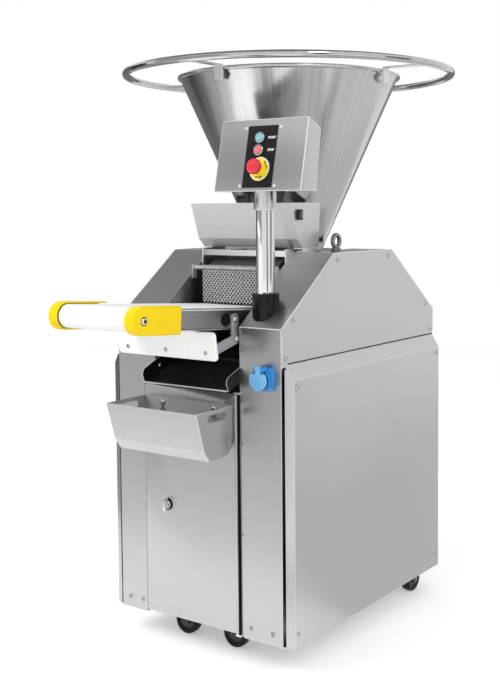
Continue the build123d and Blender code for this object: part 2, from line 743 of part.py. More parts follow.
# Door: flanged sheet with a rolled right edge that turns on two pins
knuckle_y = front_y + KNUCKLE_RADIUS - KNUCKLE_PROUD
door_height = DOOR_TOP_Z - DOOR_BOTTOM_Z
stud_z = TRAY_TOP_Z - STUD_DROP
stud_center_x = (TRAY_LEFT_X + TRAY_RIGHT_X) / 2
stud_places = [(stud_center_x - STUD_SPAN / 2, stud_z), (stud_center_x + STUD_SPAN / 2, stud_z)]
tray_back = front_y - BODY_GAP
stud_face = tray_back - SHEET - BODY_GAP
STUD_HEAD = 3.0
latch_bore = 8.0
with BuildPart() as door:
    with BuildSketch(front_plane(front_y)):
        with Locations(((DOOR_LEFT_X + DOOR_AXIS_X) / 2, (DOOR_BOTTOM_Z + DOOR_TOP_Z) / 2)):
            Rectangle(DOOR_AXIS_X - DOOR_LEFT_X, door_height)
    extrude(amount=-SHEET)
    with BuildSketch(front_plane(front_y)):
        flange_right = DOOR_AXIS_X - 2 * KNUCKLE_RADIUS
        with Locations((DOOR_LEFT_X + SHEET / 2, (DOOR_BOTTOM_Z + DOOR_TOP_Z) / 2)):
            Rectangle(SHEET, door_height)
        for z in (DOOR_BOTTOM_Z + SHEET / 2, DOOR_TOP_Z - SHEET / 2):
            with Locations(((DOOR_LEFT_X + flange_right) / 2, z)):
                Rectangle(flange_right - DOOR_LEFT_X, SHEET)
    extrude(amount=-DOOR_FLANGE)
    with BuildSketch(Plane.XY.offset(DOOR_BOTTOM_Z)):
        with Locations((DOOR_AXIS_X, knuckle_y)):
            Circle(KNUCKLE_RADIUS)
    extrude(amount=door_height)
    with BuildSketch(Plane.XY.offset(DOOR_BOTTOM_Z)):
        with Locations((DOOR_AXIS_X, knuckle_y)):
            Circle(PIN_RADIUS + RUNNING_GAP)
    extrude(amount=door_height, mode=Mode.SUBTRACT)
    with BuildSketch(front_plane(front_y)):
        with Locations((LATCH_X, LATCH_Z)):
            Circle(latch_bore + RUNNING_GAP)
    extrude(amount=-SHEET, mode=Mode.SUBTRACT)
    with BuildSketch(front_plane(front_y)):
        with Locations(*stud_places):
            Circle(STUD_RADIUS)
    extrude(amount=front_y - stud_face)
    with BuildSketch(front_plane(stud_face)):
        with Locations(*stud_places):
            Circle(STUD_HEAD_RADIUS)
    extrude(amount=STUD_HEAD)
save(door, "door")

# Hinge pins: two pins with their brackets on the fascia's set-back strip
PIN_ENGAGEMENT = 30.0
BRACKET_GAP = 0.5
BRACKET = 5.0
with BuildPart() as hinge_pins:
    for pin_z, bracket_z in (
        (DOOR_BOTTOM_Z, DOOR_BOTTOM_Z - BRACKET_GAP - BRACKET),
        (DOOR_TOP_Z - PIN_ENGAGEMENT, DOOR_TOP_Z + BRACKET_GAP),
    ):
        with BuildSketch(Plane.XY.offset(min(pin_z, bracket_z))):
            with Locations((DOOR_AXIS_X, knuckle_y)):
                Circle(PIN_RADIUS)
        extrude(amount=PIN_ENGAGEMENT + BRACKET_GAP + BRACKET)
        with BuildSketch(Plane.XY.offset(bracket_z)):
            with Locations(((DOOR_AXIS_X - KNUCKLE_RADIUS + flange_x) / 2, knuckle_y + 1)):
                Rectangle(flange_x - DOOR_AXIS_X + KNUCKLE_RADIUS, 2 * KNUCKLE_RADIUS)
        extrude(amount=BRACKET)
save(hinge_pins, "hinge_pins")

# Door latch: wing knob, spindle and cam bar; upright at rest, unlocked
WING_LENGTH = 34.0
WING_WIDTH = 8.0
WING_HEIGHT = 12.0
ROSE_RADIUS = 12.0
ROSE = 4.0
CAM_THICKNESS = 3.0
CAM_WIDTH = 16.0
cam_y = front_y + FLANGE + 3
with BuildPart() as door_latch:
    with BuildSketch(front_plane(cam_y + CAM_THICKNESS)):
        with Locations((LATCH_X, LATCH_Z)):
            Circle(latch_bore)
    extrude(amount=cam_y + CAM_THICKNESS - front_y + BODY_GAP)
    with BuildSketch(front_plane(front_y - BODY_GAP)):
        with Locations((LATCH_X, LATCH_Z)):
            Circle(ROSE_RADIUS)
    extrude(amount=ROSE)
    with BuildSketch(front_plane(front_y - BODY_GAP - ROSE)):
        with Locations((LATCH_X, LATCH_Z)):
            SlotOverall(WING_LENGTH, WING_WIDTH, rotation=90)
    extrude(amount=WING_HEIGHT)
    with BuildSketch(front_plane(cam_y + CAM_THICKNESS)):
        with Locations((LATCH_X, LATCH_Z + LATCH_REACH / 2)):
            Rectangle(CAM_WIDTH, LATCH_REACH)
        with Locations((LATCH_X, LATCH_Z)):
            Circle(CAM_WIDTH / 2)
    extrude(amount=CAM_THICKNESS)
save(door_latch, "door_latch")

# Catch tray: folded open bin with grip slots, hung on the door's studs by keyholes
KEYHOLE_CLEARANCE = 0.5
tray_width = TRAY_RIGHT_X - TRAY_LEFT_X


def tray_profile(wall, rim):
    """Side view of the bin, drawn in from its outer faces by the wall and carried up by the rim."""
    lean = (TRAY_TOP_REACH - TRAY_FOLD_REACH) / (TRAY_TOP_Z - TRAY_FOLD_Z)
    return (
        (tray_back - wall, TRAY_TOP_Z + rim),
        (tray_back - wall, TRAY_BOTTOM_Z + wall),
        (front_y - TRAY_BOTTOM_REACH + wall / 2, TRAY_BOTTOM_Z + wall),
        (front_y - TRAY_FOLD_REACH + wall, TRAY_FOLD_Z + wall / 4),
        (front_y - TRAY_TOP_REACH + wall - lean * rim, TRAY_TOP_Z + rim),
    )


with BuildPart() as catch_tray:
    with BuildSketch(side_plane(TRAY_LEFT_X)):
        with BuildLine():
            Polyline(*tray_profile(0, 0), close=True)
        make_face()
    extrude(amount=tray_width)
    heel = catch_tray.edges().filter_by(Axis.X).group_by(Axis.Z)[0].sort_by(Axis.Y)[-1]
    fillet(heel, radius=TRAY_ROUND)
    with BuildPart(mode=Mode.SUBTRACT) as bin_space:
        with BuildSketch(side_plane(TRAY_LEFT_X + SHEET)):
            with BuildLine():
                Polyline(*tray_profile(SHEET, 1), close=True)
            make_face()
        extrude(amount=tray_width - 2 * SHEET)
        inner_heel = bin_space.edges().filter_by(Axis.X).group_by(Axis.Z)[0].sort_by(Axis.Y)[-1]
        fillet(inner_heel, radius=TRAY_ROUND - SHEET)
    grip_y = front_y - TRAY_TOP_REACH / 2 + 6
    with BuildSketch(side_plane(TRAY_LEFT_X)):
        with Locations((grip_y, TRAY_TOP_Z - GRIP_HEIGHT)):
            SlotOverall(GRIP_LENGTH, GRIP_HEIGHT)
    extrude(amount=tray_width, mode=Mode.SUBTRACT)
    with BuildSketch(front_plane(tray_back)):
        for x, z in stud_places:
            with Locations((x, z - TRAY_LIFT / 2)):
                SlotCenterToCenter(TRAY_LIFT, 2 * (STUD_RADIUS + KEYHOLE_CLEARANCE), rotation=90)
            with Locations((x, z - TRAY_LIFT)):
                Circle(STUD_HEAD_RADIUS + 1)
    extrude(amount=SHEET, mode=Mode.SUBTRACT)
save(catch_tray, "catch_tray")

# Control column: tube from the right cheek's slope up into the sleeve under the control box
column_y = front_y + COLUMN_SETBACK
sleeve_bottom = BOX_BOTTOM_Z - SLEEVE_LENGTH
column_foot = slope_z(column_y - BOOT_RADIUS) - 5


def below_slope():
    """Cut away what lies under the cheek's front slope."""
    with BuildSketch(side_plane(COLUMN_X - BOOT_RADIUS - 1)) as under:
        with BuildLine():
            Polyline(
                (front_y - BOOT_RADIUS, slope_z(front_y - BOOT_RADIUS)),
                (slope_top_y, TOP_Z),
                (slope_top_y, SHOULDER_Z - BOOT_RADIUS - 30),
                (front_y - BOOT_RADIUS, SHOULDER_Z - BOOT_RADIUS - 30),
                close=True,
            )
        make_face()
    extrude(under.sketch, amount=2 * BOOT_RADIUS + 2, mode=Mode.SUBTRACT)


def column_ring(outer, inner, low, high):
    """Add a round tube on the column's axis between two heights."""
    with BuildSketch(Plane.XY.offset(low)) as section:
        with Locations((COLUMN_X, column_y)):
            Circle(outer)
            Circle(inner, mode=Mode.SUBTRACT)
    extrude(section.sketch, amount=high - low)


with BuildPart() as control_column:
    column_ring(COLUMN_RADIUS, COLUMN_RADIUS - COLUMN_WALL, column_foot, BOX_BOTTOM_Z)
    below_slope()
save(control_column, "control_column")

# Column boot: rubber moulding that seals the column's foot
BOOT_EDGE = 2.0
with BuildPart() as column_boot:
    column_ring(BOOT_RADIUS, COLUMN_RADIUS, column_foot, BOOT_TOP_Z)
    boot_rim = column_boot.edges().filter_by(GeomType.CIRCLE).sort_by(Axis.Z)[-2:].sort_by(SortBy.RADIUS)[-1]
    fillet(boot_rim, radius=BOOT_EDGE)
    below_slope()
save(column_boot, "column_boot")

# Control box: leaning sheet-steel box, open at its back, with the column's socket welded under it
SET_SCREW_RADIUS = 4.0
SET_SCREW_DROP = 14.0
box_front = column_y - BOX_FRONT_OVERHANG
box_left = COLUMN_X - BOX_WIDTH / 2
box_lean = atan2(BOX_LEAN, BOX_HEIGHT)
with BuildPart() as control_box:
    with BuildSketch(side_plane(box_left)):
        with BuildLine():
            Polyline(
                (box_front, BOX_BOTTOM_Z),
                (box_front + BOX_BOTTOM_DEPTH, BOX_BOTTOM_Z),
                (box_front + BOX_LEAN + BOX_TOP_DEPTH, BOX_BOTTOM_Z + BOX_HEIGHT - BOX_TOP_FALL),
                (box_front + BOX_LEAN, BOX_BOTTOM_Z + BOX_HEIGHT),
                close=True,
            )
        make_face()
    extrude(amount=BOX_WIDTH)
    box_back = control_box.faces().sort_by(Axis.Y)[-1]
    offset(amount=-SHEET, openings=box_back)
    column_ring(SLEEVE_RADIUS, COLUMN_RADIUS, sleeve_bottom, BOX_BOTTOM_Z)
    with BuildSketch(front_plane(column_y - COLUMN_RADIUS - SHEET)):
        with Locations((COLUMN_X, BOX_BOTTOM_Z - SET_SCREW_DROP)):
            Circle(SET_SCREW_RADIUS)
    extrude(amount=SLEEVE_RADIUS - COLUMN_RADIUS)
save(control_box, "control_box")

# Control box lid: flat sheet over the box's back

back_low = Vector(COLUMN_X, box_front + BOX_BOTTOM_DEPTH, BOX_BOTTOM_Z)
back_high = Vector(COLUMN_X, box_front + BOX_LEAN + BOX_TOP_DEPTH, BOX_BOTTOM_Z + BOX_HEIGHT - BOX_TOP_FALL)
back_up = (back_high - back_low).normalized()
back_plane = Plane(origin=(back_low + back_high) / 2, x_dir=(-1, 0, 0), z_dir=Vector(-1, 0, 0).cross(back_up))
with BuildPart() as control_box_lid:
    with BuildSketch(back_plane):
        Rectangle(BOX_WIDTH, (back_high - back_low).length)
    extrude(amount=SHEET)
save(control_box_lid, "control_box_lid")

# Button plate and what is set into it, laid out on the box's leaning front
panel_plane = Plane(
    origin=(COLUMN_X, box_front, BOX_BOTTOM_Z),
    x_dir=(1, 0, 0),
    z_dir=(0, -cos(box_lean), sin(box_lean)),
)
PLATE_CORNER = 3.0
PLATE_RISE = 9.0
plate_plane = panel_plane.offset(PLATE_THICKNESS)
with BuildPart() as button_plate:
    with BuildSketch(panel_plane):
        with Locations((0, PLATE_RISE + PLATE_HEIGHT / 2)):
            RectangleRounded(PLATE_WIDTH, PLATE_HEIGHT, PLATE_CORNER)
    extrude(amount=PLATE_THICKNESS)
save(button_plate, "button_plate")

BUTTON_X = -4.0
BUTTON_BASE = BUTTON_TRAVEL + 1.0
BUTTON_PROUD = 1.5
BUTTON_GAP = 0.1
with BuildPart() as button_bezels:
    with BuildSketch(plate_plane):
        with Locations((BUTTON_X, START_HEIGHT), (BUTTON_X, STOP_HEIGHT)):
            Circle(BEZEL_RADIUS)
            Circle(BUTTON_RADIUS + BUTTON_GAP, mode=Mode.SUBTRACT)
    extrude(amount=BEZEL_HEIGHT)
    bezel_rims = button_bezels.edges().filter_by(GeomType.CIRCLE).sort_by(SortBy.RADIUS)[-4:].sort_by(Axis.Y)
    chamfer(bezel_rims.filter_by(lambda edge: plate_plane.to_local_coords(edge.center()).Z > 1), length=2)
save(button_bezels, "button_bezels")

for name, height in (("start_button", START_HEIGHT), ("stop_button", STOP_HEIGHT)):
    with BuildPart() as push_button:
        with BuildSketch(plate_plane.offset(BUTTON_BASE)):
            with Locations((BUTTON_X, height)):
                Circle(BUTTON_RADIUS)
        extrude(amount=BEZEL_HEIGHT + BUTTON_PROUD - BUTTON_BASE)
    save(push_button, name)

# Emergency stop: round base with a collar, and a mushroom head on a stem
ESTOP_X = 4.0
ESTOP_DISC = 2.0
COLLAR_HEIGHT = 12.0
COLLAR_RADIUS = 15.0
HEAD_HEIGHT = 18.0
HEAD_ROUND = 6.0
head_base = COLLAR_HEIGHT + ESTOP_TRAVEL + 0.5
with BuildPart() as estop_base:
    with BuildSketch(plate_plane):
        with Locations((ESTOP_X, ESTOP_HEIGHT)):
            Circle(ESTOP_DISC_RADIUS)
    extrude(amount=ESTOP_DISC)
    with BuildSketch(plate_plane):
        with Locations((ESTOP_X, ESTOP_HEIGHT)):
            Circle(COLLAR_RADIUS)
    extrude(amount=COLLAR_HEIGHT)
    with BuildSketch(plate_plane):
        with Locations((ESTOP_X, ESTOP_HEIGHT)):
            Circle(ESTOP_STEM_RADIUS + BUTTON_GAP)
    extrude(amount=COLLAR_HEIGHT, mode=Mode.SUBTRACT)
save(estop_base, "estop_base")

with BuildPart() as estop_button:
    with BuildSketch(plate_plane.offset(ESTOP_TRAVEL + 1)):
        with Locations((ESTOP_X, ESTOP_HEIGHT)):
            Circle(ESTOP_STEM_RADIUS)
    extrude(amount=head_base - ESTOP_TRAVEL)
    with BuildSketch(plate_plane.offset(head_base)):
        with Locations((ESTOP_X, ESTOP_HEIGHT)):
            Circle(ESTOP_HEAD_RADIUS)
    extrude(amount=HEAD_HEIGHT)
    head_rims = estop_button.edges().filter_by(GeomType.CIRCLE).sort_by(SortBy.RADIUS)[-2:]
    fillet(head_rims, radius=HEAD_ROUND)
save(estop_button, "estop_button")

# Cable glands under the box, the left one with an elbow
GLAND_RADIUS = 8.0
GLAND_LENGTH = 26.0
GLAND_NUT_RADIUS = 12.0
GLAND_NUT = 9.0
GLAND_OFFSET = 52.0
ELBOW_DROP = 18.0
ELBOW_REACH = 30.0
ELBOW_NUT_RADIUS = 10.5
gland_y = box_front + BOX_BOTTOM_DEPTH / 2
with BuildPart() as cable_glands:
    for side in (-1, 1):
        with BuildSketch(Plane.XY.offset(BOX_BOTTOM_Z)):
            with Locations((COLUMN_X + side * GLAND_OFFSET, gland_y)):
                Circle(GLAND_RADIUS)
        extrude(amount=-GLAND_LENGTH)
        with BuildSketch(Plane.XY.offset(BOX_BOTTOM_Z)):
            with Locations((COLUMN_X + side * GLAND_OFFSET, gland_y)):
                RegularPolygon(GLAND_NUT_RADIUS, 6)
        extrude(amount=-GLAND_NUT)
    elbow_x = COLUMN_X - GLAND_OFFSET
    with BuildSketch(side_plane(elbow_x)):
        with Locations((gland_y, BOX_BOTTOM_Z - ELBOW_DROP)):
            Circle(GLAND_RADIUS)
    extrude(amount=-ELBOW_REACH)
    with BuildSketch(side_plane(elbow_x - ELBOW_REACH + GLAND_NUT)):
        with Locations((gland_y, BOX_BOTTOM_Z - ELBOW_DROP)):
            RegularPolygon(ELBOW_NUT_RADIUS, 6)
    extrude(amount=-GLAND_NUT)
save(cable_glands, "cable_glands")

# Flour duster: skewed trough in front of the hopper's cone, with a slot over its roller
duster_slot = 2 * DUSTER_ROLLER_RADIUS + 4
duster_top_y = front_y + DUSTER_TOP_SETBACK
duster_bend_y = front_y + DUSTER_BEND_SETBACK
duster_bottom_y = front_y + DUSTER_BOTTOM_SETBACK
duster_back_top = duster_top_y + DUSTER_TOP_DEPTH
duster_back_bottom = duster_bottom_y + DUSTER_BOTTOM_DEPTH
duster_roller_y = (duster_bottom_y + duster_back_bottom) / 2 - DUSTER_ROLLER_SHIFT
duster_roller_z = DUSTER_BOTTOM_Z + DUSTER_ROLLER_RADIUS + 1
duster_length = DUSTER_RIGHT_X - DUSTER_LEFT_X
with BuildPart() as duster_hopper:
    with BuildSketch(side_plane(DUSTER_LEFT_X)):
        with BuildLine():
            Polyline(
                (duster_top_y, DUSTER_TOP_Z),
                (duster_bend_y, DUSTER_BEND_Z),
                (duster_bottom_y, DUSTER_BOTTOM_Z),
                (duster_back_bottom, DUSTER_BOTTOM_Z),
                (duster_back_top, DUSTER_TOP_Z),
                close=True,
            )
        make_face()
    extrude(amount=duster_length)
    with BuildSketch(side_plane(DUSTER_LEFT_X + SHEET)):
        with BuildLine():
            Polyline(
                (duster_top_y + SHEET, DUSTER_TOP_Z + 1),
                (duster_bend_y + SHEET, DUSTER_BEND_Z),
                (duster_bottom_y + SHEET, DUSTER_BOTTOM_Z + SHEET),
                (duster_back_bottom - 2 * SHEET, DUSTER_BOTTOM_Z + SHEET),
                (duster_back_top - SHEET, DUSTER_TOP_Z + 1),
                close=True,
            )
        make_face()
    extrude(amount=duster_length - 2 * SHEET, mode=Mode.SUBTRACT)
    with BuildSketch(Plane.XY.offset(DUSTER_BOTTOM_Z)):
        with Locations(((DUSTER_LEFT_X + DUSTER_RIGHT_X) / 2, duster_roller_y)):
            Rectangle(duster_length - 4 * SHEET, duster_slot)
    extrude(amount=SHEET, mode=Mode.SUBTRACT)
    with BuildSketch(side_plane(DUSTER_LEFT_X)):
        with Locations((duster_roller_y, duster_roller_z)):
            Circle(DUSTER_STUB_RADIUS + RUNNING_GAP)
    extrude(amount=duster_length, mode=Mode.SUBTRACT)
save(duster_hopper, "duster_hopper")

# Duster drive box: closed end housing with the roller's bearing bore and the switch frame
STUB_REACH = 8.0
SWITCH_SETBACK = 226.0
SWITCH_Z = 1162.0
SWITCH_FRAME = 3.0
SWITCH_HEIGHT = 8.0
ROCKER_GAP = 0.6
ROCKER_PIVOT_RADIUS = 1.5
box_right = DUSTER_RIGHT_X + DUSTER_BOX_WIDTH
switch_y = front_y + SWITCH_SETBACK
rocker_axis_x = box_right + SWITCH_HEIGHT - 2
duster_box_back = front_y + DUSTER_BOX_BACK
with BuildPart() as duster_drive_box:
    with BuildSketch(side_plane(DUSTER_RIGHT_X)):
        with BuildLine():
            Polyline(
                (duster_top_y, DUSTER_TOP_Z),
                (duster_bend_y, DUSTER_BEND_Z),
                (duster_bottom_y, DUSTER_BOTTOM_Z),
                (duster_box_back - 10, DUSTER_BOTTOM_Z),
                (duster_box_back, DUSTER_TOP_Z),
                close=True,
            )
        make_face()
    extrude(amount=DUSTER_BOX_WIDTH)
    with BuildSketch(side_plane(DUSTER_RIGHT_X)):
        with Locations((duster_roller_y, duster_roller_z)):
            Circle(DUSTER_STUB_RADIUS + RUNNING_GAP)
    extrude(amount=STUB_REACH + 1, mode=Mode.SUBTRACT)
    with BuildSketch(side_plane(box_right)):
        with Locations((switch_y, SWITCH_Z)):
            Rectangle(ROCKER_WIDTH + 2 * SWITCH_FRAME, ROCKER_LENGTH + 2 * SWITCH_FRAME)
            Rectangle(ROCKER_WIDTH + 2 * ROCKER_GAP, ROCKER_LENGTH + 2 * ROCKER_GAP, mode=Mode.SUBTRACT)
    extrude(amount=SWITCH_HEIGHT)
    with BuildSketch(front_plane(switch_y + ROCKER_WIDTH / 2 + ROCKER_GAP)):
        with Locations((rocker_axis_x, SWITCH_Z)):
            Circle(ROCKER_PIVOT_RADIUS)
    extrude(amount=ROCKER_WIDTH + 2 * ROCKER_GAP)
save(duster_drive_box, "duster_drive_box")

# Duster roller: fluted shaft that meters the flour
FLUTES = 10
FLUTE_RADIUS = 3.0
ROLLER_INSET = 6.0
with BuildPart() as duster_roller:
    with BuildSketch(side_plane(DUSTER_LEFT_X + ROLLER_INSET)):
        with Locations((duster_roller_y, duster_roller_z)):
            Circle(DUSTER_ROLLER_RADIUS)
            with PolarLocations(DUSTER_ROLLER_RADIUS, FLUTES):
                Circle(FLUTE_RADIUS, mode=Mode.SUBTRACT)
    extrude(amount=duster_length - 2 * ROLLER_INSET)
    with BuildSketch(side_plane(DUSTER_LEFT_X)):
        with Locations((duster_roller_y, duster_roller_z)):
            Circle(DUSTER_STUB_RADIUS)
    extrude(amount=duster_length + STUB_REACH)
save(duster_roller, "duster_roller")

# Duster brackets: channels between the cheeks' tops and the duster, with side plates and a front apron
BRACKET_WIDTH = 22.0
BRACKET_LENGTH = 60.0
BRACKET_SHEET = 3.0
SIDE_FRONT = 206.0
SIDE_FOOT = 52.0
APRON_SETBACK = 226.0
APRON_HEIGHT = 16.0
APRON_DROP = 5.0
bracket_height = DUSTER_BOTTOM_Z - TOP_Z
bracket_y = duster_bottom_y + 2
side_front_y = front_y + SIDE_FRONT
side_length = bracket_y + BRACKET_LENGTH - side_front_y
side_top_z = DUSTER_BOTTOM_Z - BRACKET_SHEET
wing_width = BRACKET_SHEET - DUSTER_LEFT_X - cheek_x
wing_x = -DUSTER_LEFT_X - wing_width / 2
apron_z = side_top_z - APRON_DROP - APRON_HEIGHT / 2
with BuildPart() as duster_brackets:
    for x in (DUSTER_LEFT_X, -DUSTER_LEFT_X - BRACKET_WIDTH):
        with BuildSketch(front_plane(bracket_y)):
            with Locations((x + BRACKET_WIDTH / 2, TOP_Z + bracket_height / 2)):
                Rectangle(BRACKET_WIDTH, bracket_height)
            with Locations((x + BRACKET_WIDTH / 2 - BRACKET_SHEET, TOP_Z + bracket_height / 2)):
                Rectangle(BRACKET_WIDTH, bracket_height - 2 * BRACKET_SHEET, mode=Mode.SUBTRACT)
        extrude(amount=-BRACKET_LENGTH)
    for side in (-1, 1):
        with BuildSketch(front_plane(bracket_y)):
            with Locations((side * wing_x, DUSTER_BOTTOM_Z - BRACKET_SHEET / 2)):
                Rectangle(wing_width, BRACKET_SHEET)
        extrude(amount=-BRACKET_LENGTH)
        with BuildSketch(front_plane(side_front_y)):
            with Locations((side * (cheek_x - BRACKET_SHEET / 2), side_top_z - SIDE_FOOT / 2)):
                Rectangle(BRACKET_SHEET, SIDE_FOOT)
        extrude(amount=-side_length)
        with BuildSketch(front_plane(bracket_y)):
            with Locations((side * (cheek_x - BRACKET_SHEET / 2), DUSTER_BOTTOM_Z - BRACKET_SHEET)):
                Rectangle(BRACKET_SHEET, 2 * BRACKET_SHEET)
        extrude(amount=-BRACKET_LENGTH)
    with BuildSketch(front_plane(front_y + APRON_SETBACK)):
        with Locations((0, apron_z)):
            Rectangle(2 * (cheek_x - BRACKET_SHEET), APRON_HEIGHT)
    extrude(amount=-SHEET)
save(duster_brackets, "duster_brackets")

# Duster rocker: switch key on the pivot in its frame
ROCKER_HEEL = 3.0
ROCKER_RISE = 3.5
with BuildPart() as duster_rocker:
    with BuildSketch(front_plane(switch_y + ROCKER_WIDTH / 2)):
        with BuildLine():
            Polyline(
                (rocker_axis_x, SWITCH_Z + ROCKER_LENGTH / 2 - 1),
                (rocker_axis_x + ROCKER_RISE, SWITCH_Z + ROCKER_LENGTH / 2 - 1),
                (rocker_axis_x + ROCKER_HEEL, SWITCH_Z),
                (rocker_axis_x + ROCKER_RISE, SWITCH_Z - ROCKER_LENGTH / 2 + 1),
                (rocker_axis_x, SWITCH_Z - ROCKER_LENGTH / 2 + 1),
                (rocker_axis_x - ROCKER_HEEL, SWITCH_Z),
                close=True,
            )
        make_face()
        with Locations((rocker_axis_x, SWITCH_Z)):
            Circle(ROCKER_PIVOT_RADIUS + RUNNING_GAP, mode=Mode.SUBTRACT)
    extrude(amount=ROCKER_WIDTH)
save(duster_rocker, "duster_rocker")

# Mat bar: round bar with a flat tab at each end that lies on the cheek's inner wall
TAB_SHEET = 4.0
TAB_WIDTH = 18.0
TAB_OVERLAP = 20.0
mat_y = front_y + MAT_SETBACK
tab_bottom = slope_z(mat_y) - TAB_OVERLAP
with BuildPart() as mat_bar:
    with BuildSketch(side_plane(-cheek_x)):
        with Locations((mat_y, MAT_BAR_Z)):
            Circle(MAT_BAR_RADIUS)
    extrude(amount=2 * cheek_x)
    for x in (-cheek_x, cheek_x - TAB_SHEET):
        with BuildSketch(side_plane(x)):
            with Locations((mat_y, MAT_BAR_Z)):
                Circle(TAB_WIDTH / 2)
            with Locations((mat_y, (MAT_BAR_Z + tab_bottom) / 2)):
                Rectangle(TAB_WIDTH, MAT_BAR_Z - tab_bottom)
        extrude(amount=TAB_SHEET)
save(mat_bar, "mat_bar")

# Moulding mat: wire mesh that hangs from a loop round the bar and brushes the belt
LOOP_WALL = 3.0
mat_loop_radius = MAT_BAR_RADIUS + RUNNING_GAP + LOOP_WALL
belt_top = NOSE_Z - (mat_y - mat_loop_radius - nose_y) * tan(tilt) + belt_outer / cos(tilt)
mat_bottom = belt_top + MAT_CLEARANCE
mat_height = MAT_BAR_Z - mat_bottom
mat_pitch_x = (2 * MAT_HALF_WIDTH - MAT_WIRE) / MAT_COLUMNS
mat_pitch_z = (mat_height - mat_loop_radius - MAT_WIRE) / MAT_ROWS
mat_middle_z = mat_bottom + MAT_WIRE / 2 + MAT_ROWS * mat_pitch_z / 2
with BuildPart() as mesh_mat:
    with BuildSketch(front_plane(mat_y - mat_loop_radius)):
        with Locations((0, mat_bottom + mat_height / 2)):
            Rectangle(2 * MAT_HALF_WIDTH, mat_height)
        with Locations((0, mat_middle_z)):
            with GridLocations(mat_pitch_x, mat_pitch_z, MAT_COLUMNS, MAT_ROWS):
                Rectangle(mat_pitch_x - MAT_WIRE, mat_pitch_z - MAT_WIRE, mode=Mode.SUBTRACT)
    extrude(amount=-MAT_THICKNESS)
    with BuildSketch(side_plane(-MAT_HALF_WIDTH)):
        with Locations((mat_y, MAT_BAR_Z)):
            Circle(mat_loop_radius)
    extrude(amount=2 * MAT_HALF_WIDTH)
    with BuildSketch(side_plane(-MAT_HALF_WIDTH)):
        with Locations((mat_y, MAT_BAR_Z)):
            Circle(MAT_BAR_RADIUS + RUNNING_GAP)
    extrude(amount=2 * MAT_HALF_WIDTH, mode=Mode.SUBTRACT)
save(mesh_mat, "mesh_mat")

# Dividing head: casting with the dough inlet, the ram's bore and the drum's bearing ears
EAR_FRONT = 225.0
EAR_HALF_HEIGHT = 45.0
DRUM_GAP = 0.5
drum_y = front_y + DRUM_SETBACK
ear_width = cheek_x - HEAD_HALF_WIDTH
ear_back = HEAD_FRONT + 60
with BuildPart() as dividing_head:
    with BuildSketch(side_plane(-HEAD_HALF_WIDTH)):
        with Locations((front_y + (HEAD_FRONT + HEAD_BACK) / 2, (HEAD_BOTTOM_Z + head_top_z) / 2)):
            Rectangle(HEAD_BACK - HEAD_FRONT, head_top_z - HEAD_BOTTOM_Z)
        with Locations((drum_y, DRUM_Z)):
            Circle(DRUM_RADIUS + DRUM_GAP, mode=Mode.SUBTRACT)
    extrude(amount=2 * HEAD_HALF_WIDTH)
    with BuildSketch(front_plane(front_y + HEAD_BACK)):
        with Locations((0, DRUM_Z)):
            Rectangle(RAM_WIDTH, RAM_HEIGHT)
    extrude(amount=HEAD_BACK - HEAD_FRONT, mode=Mode.SUBTRACT)
    with BuildSketch(Plane.XY.offset(head_top_z)):
        with Locations((0, hopper_y)):
            Circle(INLET_RADIUS)
    extrude(amount=-(head_top_z - DRUM_Z), mode=Mode.SUBTRACT)
    for x in (-cheek_x, HEAD_HALF_WIDTH):
        with BuildSketch(side_plane(x)):
            with Locations((front_y + (EAR_FRONT + ear_back) / 2, DRUM_Z)):
                Rectangle(ear_back - EAR_FRONT, 2 * EAR_HALF_HEIGHT)
            with Locations((drum_y, DRUM_Z)):
                Circle(DRUM_SHAFT_RADIUS + RUNNING_GAP, mode=Mode.SUBTRACT)
        extrude(amount=ear_width)
save(dividing_head, "dividing_head")

# Dividing drum: turned cylinder with measuring pockets that face the ram, on its own shaft
DRUM_SIDE_GAP = 1.0
pocket_depth = PISTON_INSET + PISTON_LENGTH + PISTON_STROKE + 1
drum_half = HEAD_HALF_WIDTH - DRUM_SIDE_GAP
pocket_places = ((-POCKET_SPACING / 2, DRUM_Z), (POCKET_SPACING / 2, DRUM_Z))
with BuildPart() as dividing_drum:
    with BuildSketch(side_plane(-drum_half)):
        with Locations((drum_y, DRUM_Z)):
            Circle(DRUM_RADIUS)
    extrude(amount=2 * drum_half)
    with BuildSketch(side_plane(-cheek_x)):
        with Locations((drum_y, DRUM_Z)):
            Circle(DRUM_SHAFT_RADIUS)
    extrude(amount=2 * cheek_x)
    with BuildSketch(front_plane(drum_y + DRUM_RADIUS)):
        with Locations(*pocket_places):
            Circle(POCKET_RADIUS)
    extrude(amount=pocket_depth, mode=Mode.SUBTRACT)
save(dividing_drum, "dividing_drum")

# Measuring pistons: plungers in the pockets, drawn back by the dough
with BuildPart() as measuring_pistons:
    with BuildSketch(front_plane(drum_y + DRUM_RADIUS - PISTON_INSET)):
        with Locations(*pocket_places):
            Circle(POCKET_RADIUS - RUNNING_GAP)
    extrude(amount=PISTON_LENGTH)
save(measuring_pistons, "measuring_pistons")

# Main ram: block in the head's bore with its push rod into the gearbox
RAM_GAP = 0.1
ram_back = front_y + HEAD_BACK
rod_end = gearbox_back
with BuildPart() as main_ram:
    with BuildSketch(front_plane(ram_back)):
        with Locations((0, DRUM_Z)):
            Rectangle(RAM_WIDTH - 2 * RAM_GAP, RAM_HEIGHT - 2 * RAM_GAP)
    extrude(amount=RAM_LENGTH)
    with BuildSketch(front_plane(rod_end)):
        with Locations((0, DRUM_Z)):
            Circle(RAM_ROD_RADIUS)
    extrude(amount=rod_end - ram_back)
save(main_ram, "main_ram")

